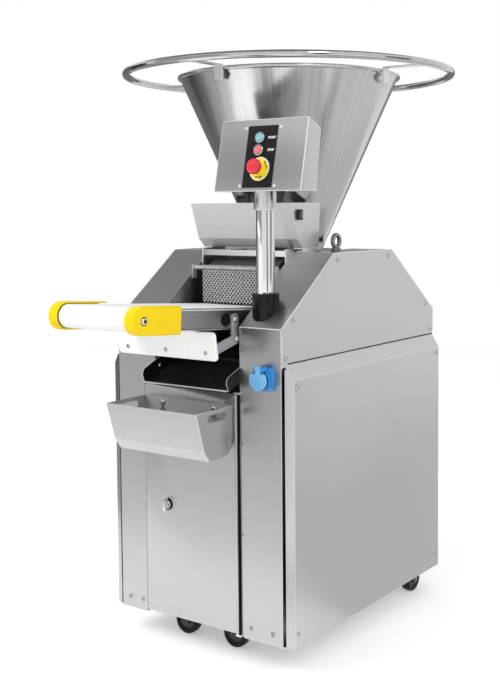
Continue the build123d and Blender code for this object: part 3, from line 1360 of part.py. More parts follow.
# Gear motor: closed casing on the shelf, bored for the push rod, with the motor hung under it
GEARBOX_CORNER = 12.0
MOTOR_FAN_COWL = 50.0
MOTOR_COWL_RADIUS = 50.0
motor_y = gearbox_front + gearbox_length / 2
with BuildPart() as gear_motor:
    with BuildSketch(front_plane(gearbox_front)):
        with Locations((0, (COVER_TOP_Z + gearbox_top_z) / 2)):
            RectangleRounded(GEARBOX_WIDTH, gearbox_top_z - COVER_TOP_Z, GEARBOX_CORNER)
        with Locations((0, DRUM_Z)):
            Circle(RAM_ROD_RADIUS + RUNNING_GAP, mode=Mode.SUBTRACT)
    extrude(amount=-gearbox_length)
    with BuildSketch(Plane.XY.offset(COVER_TOP_Z)):
        with Locations((0, motor_y)):
            Circle(MOTOR_RADIUS)
    extrude(amount=-(MOTOR_LENGTH - MOTOR_FAN_COWL))
    with BuildSketch(Plane.XY.offset(COVER_TOP_Z - MOTOR_LENGTH)):
        with Locations((0, motor_y)):
            Circle(MOTOR_COWL_RADIUS)
    extrude(amount=MOTOR_FAN_COWL)
save(gear_motor, "gear_motor")

# Casters: two swivelling in front, two fixed behind
FORK_SIDE = 3.0
FORK_CROWN = 3.0
SWIVEL_BOSS_RADIUS = 14.0
SWIVEL_BOSS = 4.0
KINGPIN_RADIUS = 5.0
PLATE_SIZE = 70.0
PLATE_ROUND = 8.0
LEG_WIDTH = 26.0
HUB_GAP = 0.5
TREAD_ROUND = 4.0
caster_top = FLOOR_Z - CASTER_PLATE
boss_bottom = caster_top - SWIVEL_BOSS
crown_top = boss_bottom - BODY_GAP
fork_half = WHEEL_WIDTH / 2 + HUB_GAP
fork_width = 2 * (fork_half + FORK_SIDE)
front_caster_y = front_y + FRONT_CASTER_SETBACK
rear_caster_y = rear_y - REAR_CASTER_INSET


def fork_legs(axle_plane, top):
    """Add two legs from the axle up to a height, and the axle between them."""
    for low in (-fork_half - FORK_SIDE, fork_half):
        with BuildSketch(axle_plane.offset(low)) as leg:
            with Locations((0, WHEEL_RADIUS)):
                Circle(LEG_WIDTH / 2)
            with Locations((0, (WHEEL_RADIUS + top) / 2)):
                Rectangle(LEG_WIDTH, top - WHEEL_RADIUS)
        extrude(leg.sketch, amount=FORK_SIDE)
    with BuildSketch(axle_plane.offset(-fork_half)) as axle:
        with Locations((0, WHEEL_RADIUS)):
            Circle(CASTER_AXLE_RADIUS)
    extrude(axle.sketch, amount=2 * fork_half)


def caster_wheel(axle_plane, name):
    """Write one wheel, with its bore round the axle and rounded tread edges."""
    with BuildPart() as wheel:
        with BuildSketch(axle_plane.offset(-WHEEL_WIDTH / 2)):
            with Locations((0, WHEEL_RADIUS)):
                Circle(WHEEL_RADIUS)
        extrude(amount=WHEEL_WIDTH)
        fillet(wheel.edges().filter_by(GeomType.CIRCLE), radius=TREAD_ROUND)
        with BuildSketch(axle_plane.offset(-WHEEL_WIDTH / 2)):
            with Locations((0, WHEEL_RADIUS)):
                Circle(CASTER_AXLE_RADIUS + RUNNING_GAP)
        extrude(amount=WHEEL_WIDTH, mode=Mode.SUBTRACT)
    save(wheel, name)


front_axles = {}
rear_axles = {}
for side, sign in (("left", -1), ("right", 1)):
    front_hub = (sign * FRONT_CASTER_X - CASTER_TRAIL, front_caster_y, 0)
    front_axles[side] = Plane(origin=front_hub, x_dir=(1, 0, 0), z_dir=(0, -1, 0))
    rear_hub = (sign * REAR_CASTER_X, rear_caster_y, 0)
    rear_axles[side] = Plane(origin=rear_hub, x_dir=(0, 1, 0), z_dir=(1, 0, 0))

with BuildPart() as caster_mounts:
    for sign in (-1, 1):
        with BuildSketch(Plane.XY.offset(caster_top)):
            with Locations((sign * FRONT_CASTER_X, front_caster_y)):
                RectangleRounded(PLATE_SIZE, PLATE_SIZE, PLATE_ROUND)
        extrude(amount=CASTER_PLATE)
        with BuildSketch(Plane.XY.offset(boss_bottom)):
            with Locations((sign * FRONT_CASTER_X, front_caster_y)):
                Circle(SWIVEL_BOSS_RADIUS)
        extrude(amount=SWIVEL_BOSS)
        with BuildSketch(Plane.XY.offset(crown_top - FORK_CROWN)):
            with Locations((sign * FRONT_CASTER_X, front_caster_y)):
                Circle(KINGPIN_RADIUS)
        extrude(amount=FORK_CROWN + BODY_GAP)
        with BuildSketch(Plane.XY.offset(caster_top)):
            with Locations((sign * REAR_CASTER_X, rear_caster_y)):
                RectangleRounded(fork_width, PLATE_SIZE, FORK_SIDE)
        extrude(amount=CASTER_PLATE)
    for axle_plane in rear_axles.values():
        fork_legs(axle_plane, caster_top)
save(caster_mounts, "caster_mounts")

for side, sign in (("left", -1), ("right", 1)):
    swivel_x = sign * FRONT_CASTER_X
    crown_length = CASTER_TRAIL + LEG_WIDTH / 2 + SWIVEL_BOSS_RADIUS
    with BuildPart() as front_fork:
        fork_legs(front_axles[side], crown_top)
        with BuildSketch(Plane.XY.offset(crown_top - FORK_CROWN)):
            with Locations((swivel_x + SWIVEL_BOSS_RADIUS - crown_length / 2, front_caster_y)):
                Rectangle(crown_length, fork_width)
            with Locations((swivel_x, front_caster_y)):
                Circle(KINGPIN_RADIUS + RUNNING_GAP, mode=Mode.SUBTRACT)
        extrude(amount=FORK_CROWN)
    save(front_fork, f"front_{side}_fork")
    caster_wheel(front_axles[side], f"front_{side}_wheel")
    caster_wheel(rear_axles[side], f"rear_{side}_wheel")

# Socket outlet: square base with a round collar and contact well
SOCKET_CORNER = 6.0
WELL_RADIUS = 20.0
WELL_DEPTH = 14.0
EAR_WIDTH = 6.0
EAR_SPAN = 22.0
socket_front = front_y - SOCKET_BASE - SOCKET_COLLAR
lid_pin_z = SOCKET_Z + SOCKET_COLLAR_RADIUS + LID_PIN_RADIUS + 3
lid_pin_y = socket_front - LID_THICKNESS / 2 - BODY_GAP
with BuildPart() as socket_base:
    with BuildSketch(front_plane(front_y)):
        with Locations((SOCKET_X, SOCKET_Z)):
            RectangleRounded(SOCKET_SIZE, SOCKET_SIZE, SOCKET_CORNER)
    extrude(amount=SOCKET_BASE)
    with BuildSketch(front_plane(front_y - SOCKET_BASE)):
        with Locations((SOCKET_X, SOCKET_Z)):
            Circle(SOCKET_COLLAR_RADIUS)
    extrude(amount=SOCKET_COLLAR)
    with BuildSketch(front_plane(socket_front)):
        with Locations((SOCKET_X, SOCKET_Z)):
            Circle(WELL_RADIUS)
    extrude(amount=-WELL_DEPTH, mode=Mode.SUBTRACT)
    with BuildSketch(front_plane(front_y - SOCKET_BASE)):
        for x in (-EAR_SPAN / 2, EAR_SPAN / 2):
            with Locations((SOCKET_X + x, lid_pin_z - LID_PIN_RADIUS)):
                Rectangle(EAR_WIDTH, 4 * LID_PIN_RADIUS)
    extrude(amount=front_y - SOCKET_BASE - lid_pin_y + LID_PIN_RADIUS)
    with BuildSketch(side_plane(SOCKET_X - EAR_SPAN / 2 - EAR_WIDTH / 2)):
        with Locations((lid_pin_y, lid_pin_z)):
            Circle(LID_PIN_RADIUS - RUNNING_GAP)
    extrude(amount=EAR_SPAN + EAR_WIDTH)
save(socket_base, "socket_base")

# Socket lid: round flap on the socket's hinge pin
LID_RADIUS = 26.0
LID_KNUCKLE = 2.5
knuckle_width = EAR_SPAN - EAR_WIDTH - 1
with BuildPart() as socket_lid:
    with BuildSketch(front_plane(socket_front - BODY_GAP)):
        with Locations((SOCKET_X, SOCKET_Z)):
            Circle(LID_RADIUS)
        with Locations((SOCKET_X, SOCKET_Z + SOCKET_COLLAR_RADIUS)):
            Rectangle(2 * EAR_SPAN, 4 * LID_PIN_RADIUS + 8, mode=Mode.SUBTRACT)
        with Locations((SOCKET_X, (SOCKET_Z + lid_pin_z) / 2)):
            Rectangle(knuckle_width, lid_pin_z - SOCKET_Z)
    extrude(amount=LID_THICKNESS)
    with BuildSketch(side_plane(SOCKET_X - knuckle_width / 2)):
        with Locations((lid_pin_y, lid_pin_z)):
            Circle(LID_PIN_RADIUS + LID_KNUCKLE)
    extrude(amount=knuckle_width)
    with BuildSketch(side_plane(SOCKET_X - knuckle_width / 2)):
        with Locations((lid_pin_y, lid_pin_z)):
            Circle(LID_PIN_RADIUS)
    extrude(amount=knuckle_width, mode=Mode.SUBTRACT)
save(socket_lid, "socket_lid")

# Panel screws: heads on the side panels, covers and fascias
SCREW_RADIUS = 6.0
SCREW_HEAD = 3.0
SCREW_INSET = 18.0
COVER_SCREW_INSET = 26.0
FASCIA_SCREW_X = 244.0
FASCIA_SCREW_Z = 104.0
STRIP_SCREW_PITCH = 237.0
STRIP_SCREW_TOP = 818.0
strip_screw_x = (flange_x + step_x) / 2
panel_screw_places = (
    (front_y + SCREW_INSET, COVER_TOP_Z + SCREW_INSET),
    (front_y + 50, slope_z(front_y + 50) - SCREW_INSET),
    (slope_top_y + SCREW_INSET, TOP_Z - SCREW_INSET),
    (top_rear_y - SCREW_INSET, TOP_Z - SCREW_INSET),
    (rear_y - 50, REAR_SHOULDER_Z + SCREW_INSET),
    (rear_y - SCREW_INSET, COVER_TOP_Z + SCREW_INSET),
)
cover_screw_places = (
    (front_y + COVER_SCREW_INSET, COVER_FOLD_Z - SCREW_INSET),
    (front_y + COVER_SCREW_INSET, SKIRT_Z + 2 * SCREW_INSET),
    (rear_y - COVER_SCREW_INSET, COVER_FOLD_Z - SCREW_INSET),
    (rear_y - COVER_SCREW_INSET, SKIRT_Z + 2 * SCREW_INSET),
)
with BuildPart() as panel_screws:
    for side in (-1, 1):
        with BuildSketch(side_plane(side * (half_core + SHEET))):
            with Locations(*panel_screw_places):
                RegularPolygon(SCREW_RADIUS, 6)
        extrude(amount=side * SCREW_HEAD)
        with BuildSketch(side_plane(side * (half_core + COVER_STANDOUT))):
            with Locations(*cover_screw_places):
                RegularPolygon(SCREW_RADIUS, 6)
        extrude(amount=side * SCREW_HEAD)
    with BuildSketch(front_plane(front_y)):
        with Locations(
            (FASCIA_SCREW_X, FASCIA_SCREW_Z),
            (FASCIA_SCREW_X - 68, FASCIA_SCREW_Z),
            (-FASCIA_SCREW_X, FASCIA_SCREW_Z),
            (-FASCIA_SCREW_X + 46, FASCIA_SCREW_Z),
        ):
            RegularPolygon(SCREW_RADIUS, 6)
    extrude(amount=SCREW_HEAD)
    with BuildSketch(front_plane(front_y + STEP_DEPTH)):
        for row in range(3):
            with Locations((strip_screw_x, STRIP_SCREW_TOP - row * STRIP_SCREW_PITCH)):
                RegularPolygon(SCREW_RADIUS * 0.6, 6)
    extrude(amount=SCREW_HEAD)
save(panel_screws, "panel_screws")
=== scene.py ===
import json
from math import cos, pi, radians, sin

import bmesh
import bpy
from mathutils import Matrix, Vector


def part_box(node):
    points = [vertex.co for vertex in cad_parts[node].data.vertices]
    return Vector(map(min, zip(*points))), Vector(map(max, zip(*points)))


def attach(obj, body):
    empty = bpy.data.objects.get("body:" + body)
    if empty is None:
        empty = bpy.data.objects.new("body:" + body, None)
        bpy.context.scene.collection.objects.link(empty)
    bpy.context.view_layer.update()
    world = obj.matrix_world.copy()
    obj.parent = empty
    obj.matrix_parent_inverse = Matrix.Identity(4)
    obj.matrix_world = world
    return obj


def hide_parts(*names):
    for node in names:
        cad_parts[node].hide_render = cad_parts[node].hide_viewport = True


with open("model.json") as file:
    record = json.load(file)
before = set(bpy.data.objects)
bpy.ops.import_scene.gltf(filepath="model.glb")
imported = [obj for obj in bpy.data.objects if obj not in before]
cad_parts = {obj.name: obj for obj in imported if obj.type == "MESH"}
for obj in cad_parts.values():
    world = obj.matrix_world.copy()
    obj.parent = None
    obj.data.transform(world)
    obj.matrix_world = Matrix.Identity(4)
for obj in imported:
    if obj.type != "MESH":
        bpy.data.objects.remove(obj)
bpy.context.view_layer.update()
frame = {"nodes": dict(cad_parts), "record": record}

# Base frame
# The cage of square tube that carries every panel, with the shelf for the gear motor.
# It is welded mild steel, zinc plated to a dull mottled grey.
ZINC_DARK = (0.42, 0.43, 0.44)
ZINC_LIGHT = (0.52, 0.53, 0.54)
FRAME_EDGE = 0.0008
JOIN_GAP = 2e-6
FLAT_ANGLE = radians(0.5)
PATTERN_LOW = 0.3
PATTERN_HIGH = 0.7
nodes = frame["nodes"]
behaviour = frame["record"]["behaviour"]
carrier = {node: body for body, group in behaviour["bodies"].items() for node in group}


def new_finish(name, color, roughness, metallic=0.0):
    """A material with the plain values of its shader set, ready for a pattern to be linked in."""
    finish = bpy.data.materials.new(name)
    finish.use_nodes = True
    shader = finish.node_tree.nodes["Principled BSDF"]
    shader.inputs["Base Color"].default_value = (*color, 1)
    shader.inputs["Roughness"].default_value = roughness
    shader.inputs["Metallic"].default_value = metallic
    return finish


def grain(finish, scale, detail=3.0, stretch=(1, 1, 1)):
    """Noise on the object's own coordinates, drawn out by the stretch along each axis."""
    tree = finish.node_tree
    place = tree.nodes.new("ShaderNodeTexCoord")
    mapping = tree.nodes.new("ShaderNodeMapping")
    mapping.inputs["Scale"].default_value = stretch
    noise = tree.nodes.new("ShaderNodeTexNoise")
    noise.inputs["Scale"].default_value = scale
    noise.inputs["Detail"].default_value = detail
    tree.links.new(place.outputs["Object"], mapping.inputs["Vector"])
    tree.links.new(mapping.outputs["Vector"], noise.inputs["Vector"])
    return noise.outputs["Fac"]


def tint(finish, factor, dark, light, low=PATTERN_LOW, high=PATTERN_HIGH):
    """Colour the surface between two tones by a factor."""
    tree = finish.node_tree
    ramp = tree.nodes.new("ShaderNodeValToRGB")
    ramp.color_ramp.elements[0].position = low
    ramp.color_ramp.elements[0].color = (*dark, 1)
    ramp.color_ramp.elements[1].position = high
    ramp.color_ramp.elements[1].color = (*light, 1)
    tree.links.new(factor, ramp.inputs["Fac"])
    tree.links.new(ramp.outputs["Color"], tree.nodes["Principled BSDF"].inputs["Base Color"])


def vary_gloss(finish, factor, low, high):
    """Let the roughness follow a factor."""
    tree = finish.node_tree
    spread = tree.nodes.new("ShaderNodeMapRange")
    spread.inputs["From Min"].default_value = PATTERN_LOW
    spread.inputs["From Max"].default_value = PATTERN_HIGH
    spread.inputs["To Min"].default_value = low
    spread.inputs["To Max"].default_value = high
    tree.links.new(factor, spread.inputs["Value"])
    tree.links.new(spread.outputs["Result"], tree.nodes["Principled BSDF"].inputs["Roughness"])


def relief(finish, height, strength, distance):
    """Raise the surface by a height pattern."""
    tree = finish.node_tree
    bump = tree.nodes.new("ShaderNodeBump")
    bump.inputs["Strength"].default_value = strength
    bump.inputs["Distance"].default_value = distance
    tree.links.new(height, bump.inputs["Height"])
    tree.links.new(bump.outputs["Normal"], tree.nodes["Principled BSDF"].inputs["Normal"])


def merged(name):
    """A node's own shape with its loose triangles joined into whole faces."""
    shape = bmesh.new()
    shape.from_mesh(nodes[name].data)
    bmesh.ops.remove_doubles(shape, verts=shape.verts, dist=JOIN_GAP)
    bmesh.ops.dissolve_limit(shape, angle_limit=FLAT_ANGLE, verts=shape.verts, edges=shape.edges)
    return shape


def bevel_edges(shape, edges, width, segments):
    """Round some edges of a shape and give back the new faces."""
    rounded = bmesh.ops.bevel(
        shape,
        geom=edges,
        offset=width,
        offset_type="OFFSET",
        segments=segments,
        profile=0.5,
        affect="EDGES",
        clamp_overlap=True,
        material=-1,
    )
    return rounded["faces"]


def break_edges(shape, width, fold, segments=2):
    """Round the sharp edges of a shape a little, as a file or a press brake leaves them."""
    sharp = []
    for edge in shape.edges:
        if edge.is_manifold and edge.calc_face_angle(0) > radians(fold):
            sharp.append(edge)
    return bevel_edges(shape, sharp, width, segments)


def set_piece(name, shape, finish, body, fold=32):
    """Put a shape in the scene as a piece that rides on a body, creased at its folds."""
    mesh = bpy.data.meshes.new(name)
    shape.to_mesh(mesh)
    shape.free()
    mesh.shade_smooth()
    mesh.set_sharp_from_angle(angle=radians(fold))
    for each in finish if isinstance(finish, tuple) else (finish,):
        mesh.materials.append(each)
    piece = bpy.data.objects.new(name, mesh)
    bpy.context.scene.collection.objects.link(piece)
    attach(piece, body)
    return piece


def stand_for(name, finish, edge=0.0, shape=None, fold=32, highlight_slot=0):
    """A finished piece in the place of a node, by default the node's own shape with broken edges."""
    if shape is None:
        shape = merged(name)
    # Broken edges take the finish in the highlight slot; a bright finish there is a painted highlight.
    if edge:
        for face in break_edges(shape, edge, fold):
            face.material_index = highlight_slot
    piece = set_piece(name + "_piece", shape, finish, carrier[name], fold)
    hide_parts(name)
    return piece


zinc = new_finish("zinc_plating", ZINC_LIGHT, roughness=0.45, metallic=0.5)
zinc_clouds = grain(zinc, scale=25)
tint(zinc, zinc_clouds, ZINC_DARK, ZINC_LIGHT)
vary_gloss(zinc, zinc_clouds, low=0.35, high=0.55)
stand_for("base_frame", zinc, FRAME_EDGE)

# Casters
# Cushion tyres of black rubber bonded to grey nylon hubs, each turning on a steel axle. The front pair
# swivel, the rear pair run in fixed forks, and the forks are pressed from sheet and painted black.
FORK_BLACK = (0.006, 0.006, 0.006)
FORK_RUBBED = (0.030, 0.030, 0.031)
TYRE_BLACK = (0.003, 0.003, 0.003)
TYRE_DUST = (0.014, 0.014, 0.013)
HUB_GREY = (0.045, 0.045, 0.047)
TYRE_HALF = ((0.0250, 0.0120), (0.0262, 0.0136), (0.0325, 0.0147), (0.0360, 0.0126), (0.0375, 0.0070))
HUB_HALF = ((0.0062, 0.0146), (0.0110, 0.0146), (0.0120, 0.0090), (0.0222, 0.0078), (0.0250, 0.0118))
SEAM_GAP = 1e-6


def turned(profile, middle, axis, steps=40):
    """A lathe shape: radius and height pairs spun about an axis through a middle."""
    shape = bmesh.new()
    points = [shape.verts.new((radius, 0, height)) for radius, height in profile]
    edges = [shape.edges.new(pair) for pair in zip(points, points[1:])]
    bmesh.ops.spin(
        shape,
        geom=points + edges,
        cent=(0, 0, 0),
        axis=(0, 0, 1),
        angle=2 * pi,
        steps=steps,
        use_merge=True,
    )
    bmesh.ops.remove_doubles(shape, verts=shape.verts, dist=SEAM_GAP)
    bmesh.ops.recalc_face_normals(shape, faces=shape.faces)
    lie = Vector((0, 0, 1)).rotation_difference(Vector(axis)).to_matrix().to_4x4()
    bmesh.ops.transform(shape, matrix=Matrix.Translation(middle) @ lie, verts=shape.verts)
    return shape


def both_sides(half):
    """A closed profile from its upper half: its mirror image, then the half walked back."""
    mirrored = [(radius, -height) for radius, height in half]
    return mirrored + list(reversed(half)) + mirrored[:1]


def middle_of(name):
    """The middle of a node's box."""
    low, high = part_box(name)
    return (low + high) / 2


def shine(finish, level):
    """Set how strongly a finish that isn't metal mirrors."""
    finish.node_tree.nodes["Principled BSDF"].inputs["Specular IOR Level"].default_value = level


fork_paint = new_finish("fork_paint", FORK_BLACK, roughness=0.3)
tint(fork_paint, grain(fork_paint, scale=110, detail=4), FORK_BLACK, FORK_RUBBED, low=0.45, high=0.75)
for name in ("caster_mounts", "front_left_fork", "front_right_fork"):
    stand_for(name, fork_paint, FRAME_EDGE)
rubber = new_finish("tyre_rubber", TYRE_BLACK, roughness=0.42)
shine(rubber, 0.2)
tint(rubber, grain(rubber, scale=90, detail=4), TYRE_BLACK, TYRE_DUST, low=0.45, high=0.8)
hub_nylon = new_finish("hub_nylon", HUB_GREY, roughness=0.45)
relief(hub_nylon, grain(hub_nylon, scale=900), strength=0.15, distance=0.0005)
for name, axle in (
    ("front_left_wheel", (0, 1, 0)),
    ("front_right_wheel", (0, 1, 0)),
    ("rear_left_wheel", (1, 0, 0)),
    ("rear_right_wheel", (1, 0, 0)),
):
    middle = middle_of(name)
    stand_for(name, rubber, shape=turned(both_sides(TYRE_HALF), middle, axle))
    wheel_hub = turned(both_sides(HUB_HALF), middle, axle)
    set_piece(name + "_hub", wheel_hub, hub_nylon, carrier[name])

# Cabinet sheets
# Fascias, cheeks, side panels, covers and rear panel are 2 mm stainless sheet, cut and folded on a
# press brake. The sheet keeps its mill grain, with faint clouds where it was handled and wiped.
STEEL_DARK = (0.535, 0.535, 0.54)
STEEL_LIGHT = (0.56, 0.56, 0.565)
# The bright finish is a painted highlight on folds and edges; on cut edges it is also the bare steel.
BARE_STEEL_AND_HIGHLIGHT = (0.76, 0.76, 0.765)
SHEET_EDGE = 0.0009
FOLD_RADIUS = 0.0022
FOLD_DEPTH = 0.006
CUT_DEPTH = 0.0046
SHEET_FOLD = 14
GRAIN_SCALE = 1300
GRAIN_UPRIGHT = (1, 1, 0.01)
GRAIN_LENGTHWISE = (1, 0.01, 1)
GRAIN_ACROSS = (0.01, 1, 1)
CLOUD_SCALE = 2.5
CLOUD_SHARE = 0.45
GLOSS_SPREAD = 0.03
SQUARE_FOLD = radians(50)
FOLD_HIGHLIGHT_WIRE = 0.0014
FOLD_INSET = 0.0010
SHOULDER_START_X = 0.1460
SHOULDER_LINE = ((-0.2660, 0.8800), (-0.0260, 1.0600), (0.2790, 1.0600), (0.5340, 0.8700))


def brushed_steel(name, dark, light, stretch, roughness, metallic=1.0):
    """Stainless sheet with fine lines along the rolling direction over broad faint clouds."""
    finish = new_finish(name, light, roughness, metallic)
    lines = grain(finish, GRAIN_SCALE, stretch=stretch)
    clouds = grain(finish, CLOUD_SCALE, detail=2)
    tree = finish.node_tree
    blend = tree.nodes.new("ShaderNodeMix")
    blend.inputs["Factor"].default_value = CLOUD_SHARE
    tree.links.new(lines, blend.inputs["A"])
    tree.links.new(clouds, blend.inputs["B"])
    tint(finish, blend.outputs["Result"], dark, light, low=0.38, high=0.62)
    vary_gloss(finish, blend.outputs["Result"], roughness - GLOSS_SPREAD, roughness + GLOSS_SPREAD)
    return finish


def depth_from(face, edge):
    """How far a face reaches from one of its edges, on the whole."""
    return face.calc_area() / edge.calc_length()


def is_cut(face):
    """Whether a face is the narrow cut edge of a sheet, square to its long neighbours."""
    sides = sorted(face.edges, key=lambda edge: edge.calc_length())[-2:]
    square = all(edge.calc_face_angle(0) > SQUARE_FOLD for edge in sides)
    return square and depth_from(face, sides[-1]) < CUT_DEPTH


def folded(name, finish, fold=SHEET_FOLD, highlight_slot=1):
    """A piece of folded sheet, rounded along its folds, with a painted highlight on its cut edges and, by
    default, on its folds.
    """
    shape = merged(name)
    folds = []
    for edge in shape.edges:
        if edge.is_manifold and edge.is_convex and edge.calc_face_angle(0) > radians(fold):
            if min(depth_from(face, edge) for face in edge.link_faces) > FOLD_DEPTH:
                folds.append(edge)
    # Cut faces and fold roundings take the bright finish, a painted highlight.
    for face in shape.faces:
        face.material_index = int(is_cut(face))
    for face in bevel_edges(shape, folds, FOLD_RADIUS, 3):
        face.material_index = highlight_slot
    return stand_for(name, (finish, bare_steel_and_highlight), shape=shape, fold=fold)


upright_grain = brushed_steel("sheet_upright_grain", STEEL_DARK, STEEL_LIGHT, GRAIN_UPRIGHT, roughness=0.31)
level_grain = brushed_steel("sheet_level_grain", STEEL_DARK, STEEL_LIGHT, GRAIN_LENGTHWISE, roughness=0.31)
bare_steel_and_highlight = new_finish("bare_steel_and_highlight", BARE_STEEL_AND_HIGHLIGHT, roughness=0.45, metallic=0.2)
vary_gloss(bare_steel_and_highlight, grain(bare_steel_and_highlight, scale=300), low=0.40, high=0.50)
for name in ("right_fascia", "left_fascia", "rear_panel", "centre_cover"):
    folded(name, upright_grain)
for name in ("right_lower_cover", "left_lower_cover"):
    folded(name, upright_grain)
for name in ("right_cheek", "left_cheek", "right_upper_panel", "left_upper_panel"):
    folded(name, level_grain)


def tubes(name, paths, radius, kind="POLY"):
    """Round wires that follow paths of points, straight or smooth between them, as one shape."""
    wires = bpy.data.curves.new(name, "CURVE")
    wires.dimensions = "3D"
    wires.bevel_depth = radius
    wires.bevel_resolution = 1
    wires.resolution_u = 2
    for path in paths:
        wire = wires.splines.new(kind)
        wire.points.add(len(path) - 1)
        for point, place in zip(wire.points, path):
            point.co = (*place, 1)
        wire.order_u = 3
        wire.use_endpoint_u = True
    bent = bpy.data.objects.new(name, wires)
    bpy.context.scene.collection.objects.link(bent)
    mesh = bpy.data.meshes.new_from_object(bent)
    bpy.data.objects.remove(bent)
    shape = bmesh.new()
    shape.from_mesh(mesh)
    bpy.data.meshes.remove(mesh)
    return shape


# Thin bright wires on the shoulder fold lines are a painted highlight along the folds.
panel_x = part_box("right_upper_panel")[1].x - FOLD_INSET
fold_highlight_paths = []
for side in (-1, 1):
    fold_highlight_paths.append([(side * panel_x, y, z) for y, z in SHOULDER_LINE])
    fold_highlight_paths.append([(side * x, *SHOULDER_LINE[0]) for x in (SHOULDER_START_X, panel_x)])
fold_highlight_wires = tubes("shoulder_fold_highlights", fold_highlight_paths, FOLD_HIGHLIGHT_WIRE)
set_piece("shoulder_fold_highlights", fold_highlight_wires, bare_steel_and_highlight, "cabinet")

# Panel screws
# Domed stainless socket screws that hold the panels and covers to the frame.
BRIGHT_DARK = (0.70, 0.70, 0.705)
BRIGHT_LIGHT = (0.77, 0.77, 0.775)
# The screws' sockets and a ring round the foot of each head are painted near black: painted shade.
SCREW_SHADE_BLACK = (0.020, 0.020, 0.021)
SCREW_PROFILE = (
    (0, 0.35), (0.48, 0.35), (0.52, 0.97), (0.62, 1.0), (0.84, 0.72),
    (0.97, 0.30), (1.0, 0.12), (1.2, 0.12), (1.2, 0), (0, 0),
)
SOCKET_SHARE = 0.5
SHADE_RING_SHARE = 1.02


def solids_of(name):
    """Lowest and highest corner of each separate solid in a node."""
    shape = bmesh.new()
    shape.from_mesh(nodes[name].data)
    bmesh.ops.remove_doubles(shape, verts=shape.verts, dist=JOIN_GAP)
    waiting = set(shape.verts)
    corners = []
    while waiting:
        group = [waiting.pop()]
        for vert in group:
            for edge in vert.link_edges:
                other = edge.other_vert(vert)
                if other in waiting:
                    waiting.remove(other)
                    group.append(other)
        low = Vector(min(vert.co[axis] for vert in group) for axis in range(3))
        high = Vector(max(vert.co[axis] for vert in group) for axis in range(3))
        corners.append((low, high))
    shape.free()
    return corners


def gathered(shapes):
    """One shape from several."""
    whole = bmesh.new()
    for shape in shapes:
        part = bpy.data.meshes.new("part")
        shape.to_mesh(part)
        shape.free()
        whole.from_mesh(part)
        bpy.data.meshes.remove(part)
    return whole


def screw_head(seat, axis, radius, height):
    """A domed head with a socket in it and a ring round its foot, standing out from a seat; socket and ring
    are painted near black as shade.
    """
    profile = [(share * radius, rise * height) for share, rise in SCREW_PROFILE]
    head = turned(profile, seat, axis, steps=16)
    line = Vector(axis).normalized()
    for face in head.faces:
        out = face.calc_center_median() - Vector(seat)
        across = (out - line * out.dot(line)).length / radius
        if across < SOCKET_SHARE or across > SHADE_RING_SHARE:
            face.material_index = 1
    return head


bright_steel = new_finish("bright_steel", BRIGHT_LIGHT, roughness=0.22, metallic=1.0)
bright_clouds = grain(bright_steel, scale=40)
tint(bright_steel, bright_clouds, BRIGHT_DARK, BRIGHT_LIGHT)
vary_gloss(bright_steel, bright_clouds, low=0.18, high=0.26)
screw_shade = new_finish("screw_painted_shade", SCREW_SHADE_BLACK, roughness=0.6)
relief(screw_shade, grain(screw_shade, scale=900), strength=0.2, distance=0.0003)
screw_finish = (bright_steel, screw_shade)
heads = []
for low, high in solids_of("panel_screws"):
    size = high - low
    middle = (low + high) / 2
    if size.x < size.y:
        outward = 1 if middle.x > 0 else -1
        seat = Vector((low.x if outward > 0 else high.x, middle.y, middle.z))
        heads.append(screw_head(seat, (outward, 0, 0), size.z / 2, size.x))
    else:
        seat = Vector((middle.x, high.y, middle.z))
        heads.append(screw_head(seat, (0, -1, 0), size.z / 2, size.y))
stand_for("panel_screws", screw_finish, shape=gathered(heads))

# Dividing head, drum, ram and gear motor
# The works between the cheeks: a machined casting with its ram, the turned drum with its pistons,
# and a grey enamelled gear motor. Little of it shows past the mat.
CAST_DARK = (0.10, 0.10, 0.105)
CAST_LIGHT = (0.20, 0.20, 0.205)
ENAMEL = (0.17, 0.19, 0.21)
casting = new_finish("machined_casting", CAST_LIGHT, roughness=0.42, metallic=1.0)
tint(casting, grain(casting, scale=260, detail=4, stretch=(0.05, 1, 1)), CAST_DARK, CAST_LIGHT)
enamel = new_finish("motor_enamel", ENAMEL, roughness=0.38)
relief(enamel, grain(enamel, scale=420, detail=2), strength=0.2, distance=0.0006)
for name in ("dividing_head", "dividing_drum", "main_ram"):
    stand_for(name, casting, edge=0.001)
stand_for("measuring_pistons", bright_steel, edge=0.0008)
stand_for("gear_motor", enamel, edge=0.002)

# Hopper
# A cone of stainless sheet, rolled, welded and polished, with its top edge curled over a wire.
# Polishing runs down the cone, so fine lines spread from the outlet to the rim.
INSIDE_LIT_DARK = (0.78, 0.78, 0.785)
INSIDE_LIT_LIGHT = (0.84, 0.84, 0.845)
POLISH_DARK = (0.50, 0.50, 0.505)
POLISH_LIGHT = (0.58, 0.58, 0.585)
RIM_RADIUS = 0.315
RIM_HEIGHT = 1.552
BEAD_RADIUS = 0.006
BEAD_START = radians(246)
BEAD_TURN = radians(340)
BEAD_STEPS = 18
OUTLET_RADIUS = 0.095
OUTLET_HEIGHT = 1.060
CONE_WALL = 0.0022
FLANGE_RADIUS = 0.130
FLANGE_FOOT = 1.054
ROUND_STEPS = 160
STREAK_SCALE = 26
STREAK_DETAIL = 5
STREAK_RISE = 0.03
hopper_middle = middle_of("hopper")
polish = new_finish("hopper_polish", POLISH_LIGHT, roughness=0.2, metallic=1.0)
tree = polish.node_tree
place = tree.nodes.new("ShaderNodeTexCoord")
centred = tree.nodes.new("ShaderNodeMapping")
centred.inputs["Location"].default_value = (0, -hopper_middle.y, 0)
apart = tree.nodes.new("ShaderNodeSeparateXYZ")
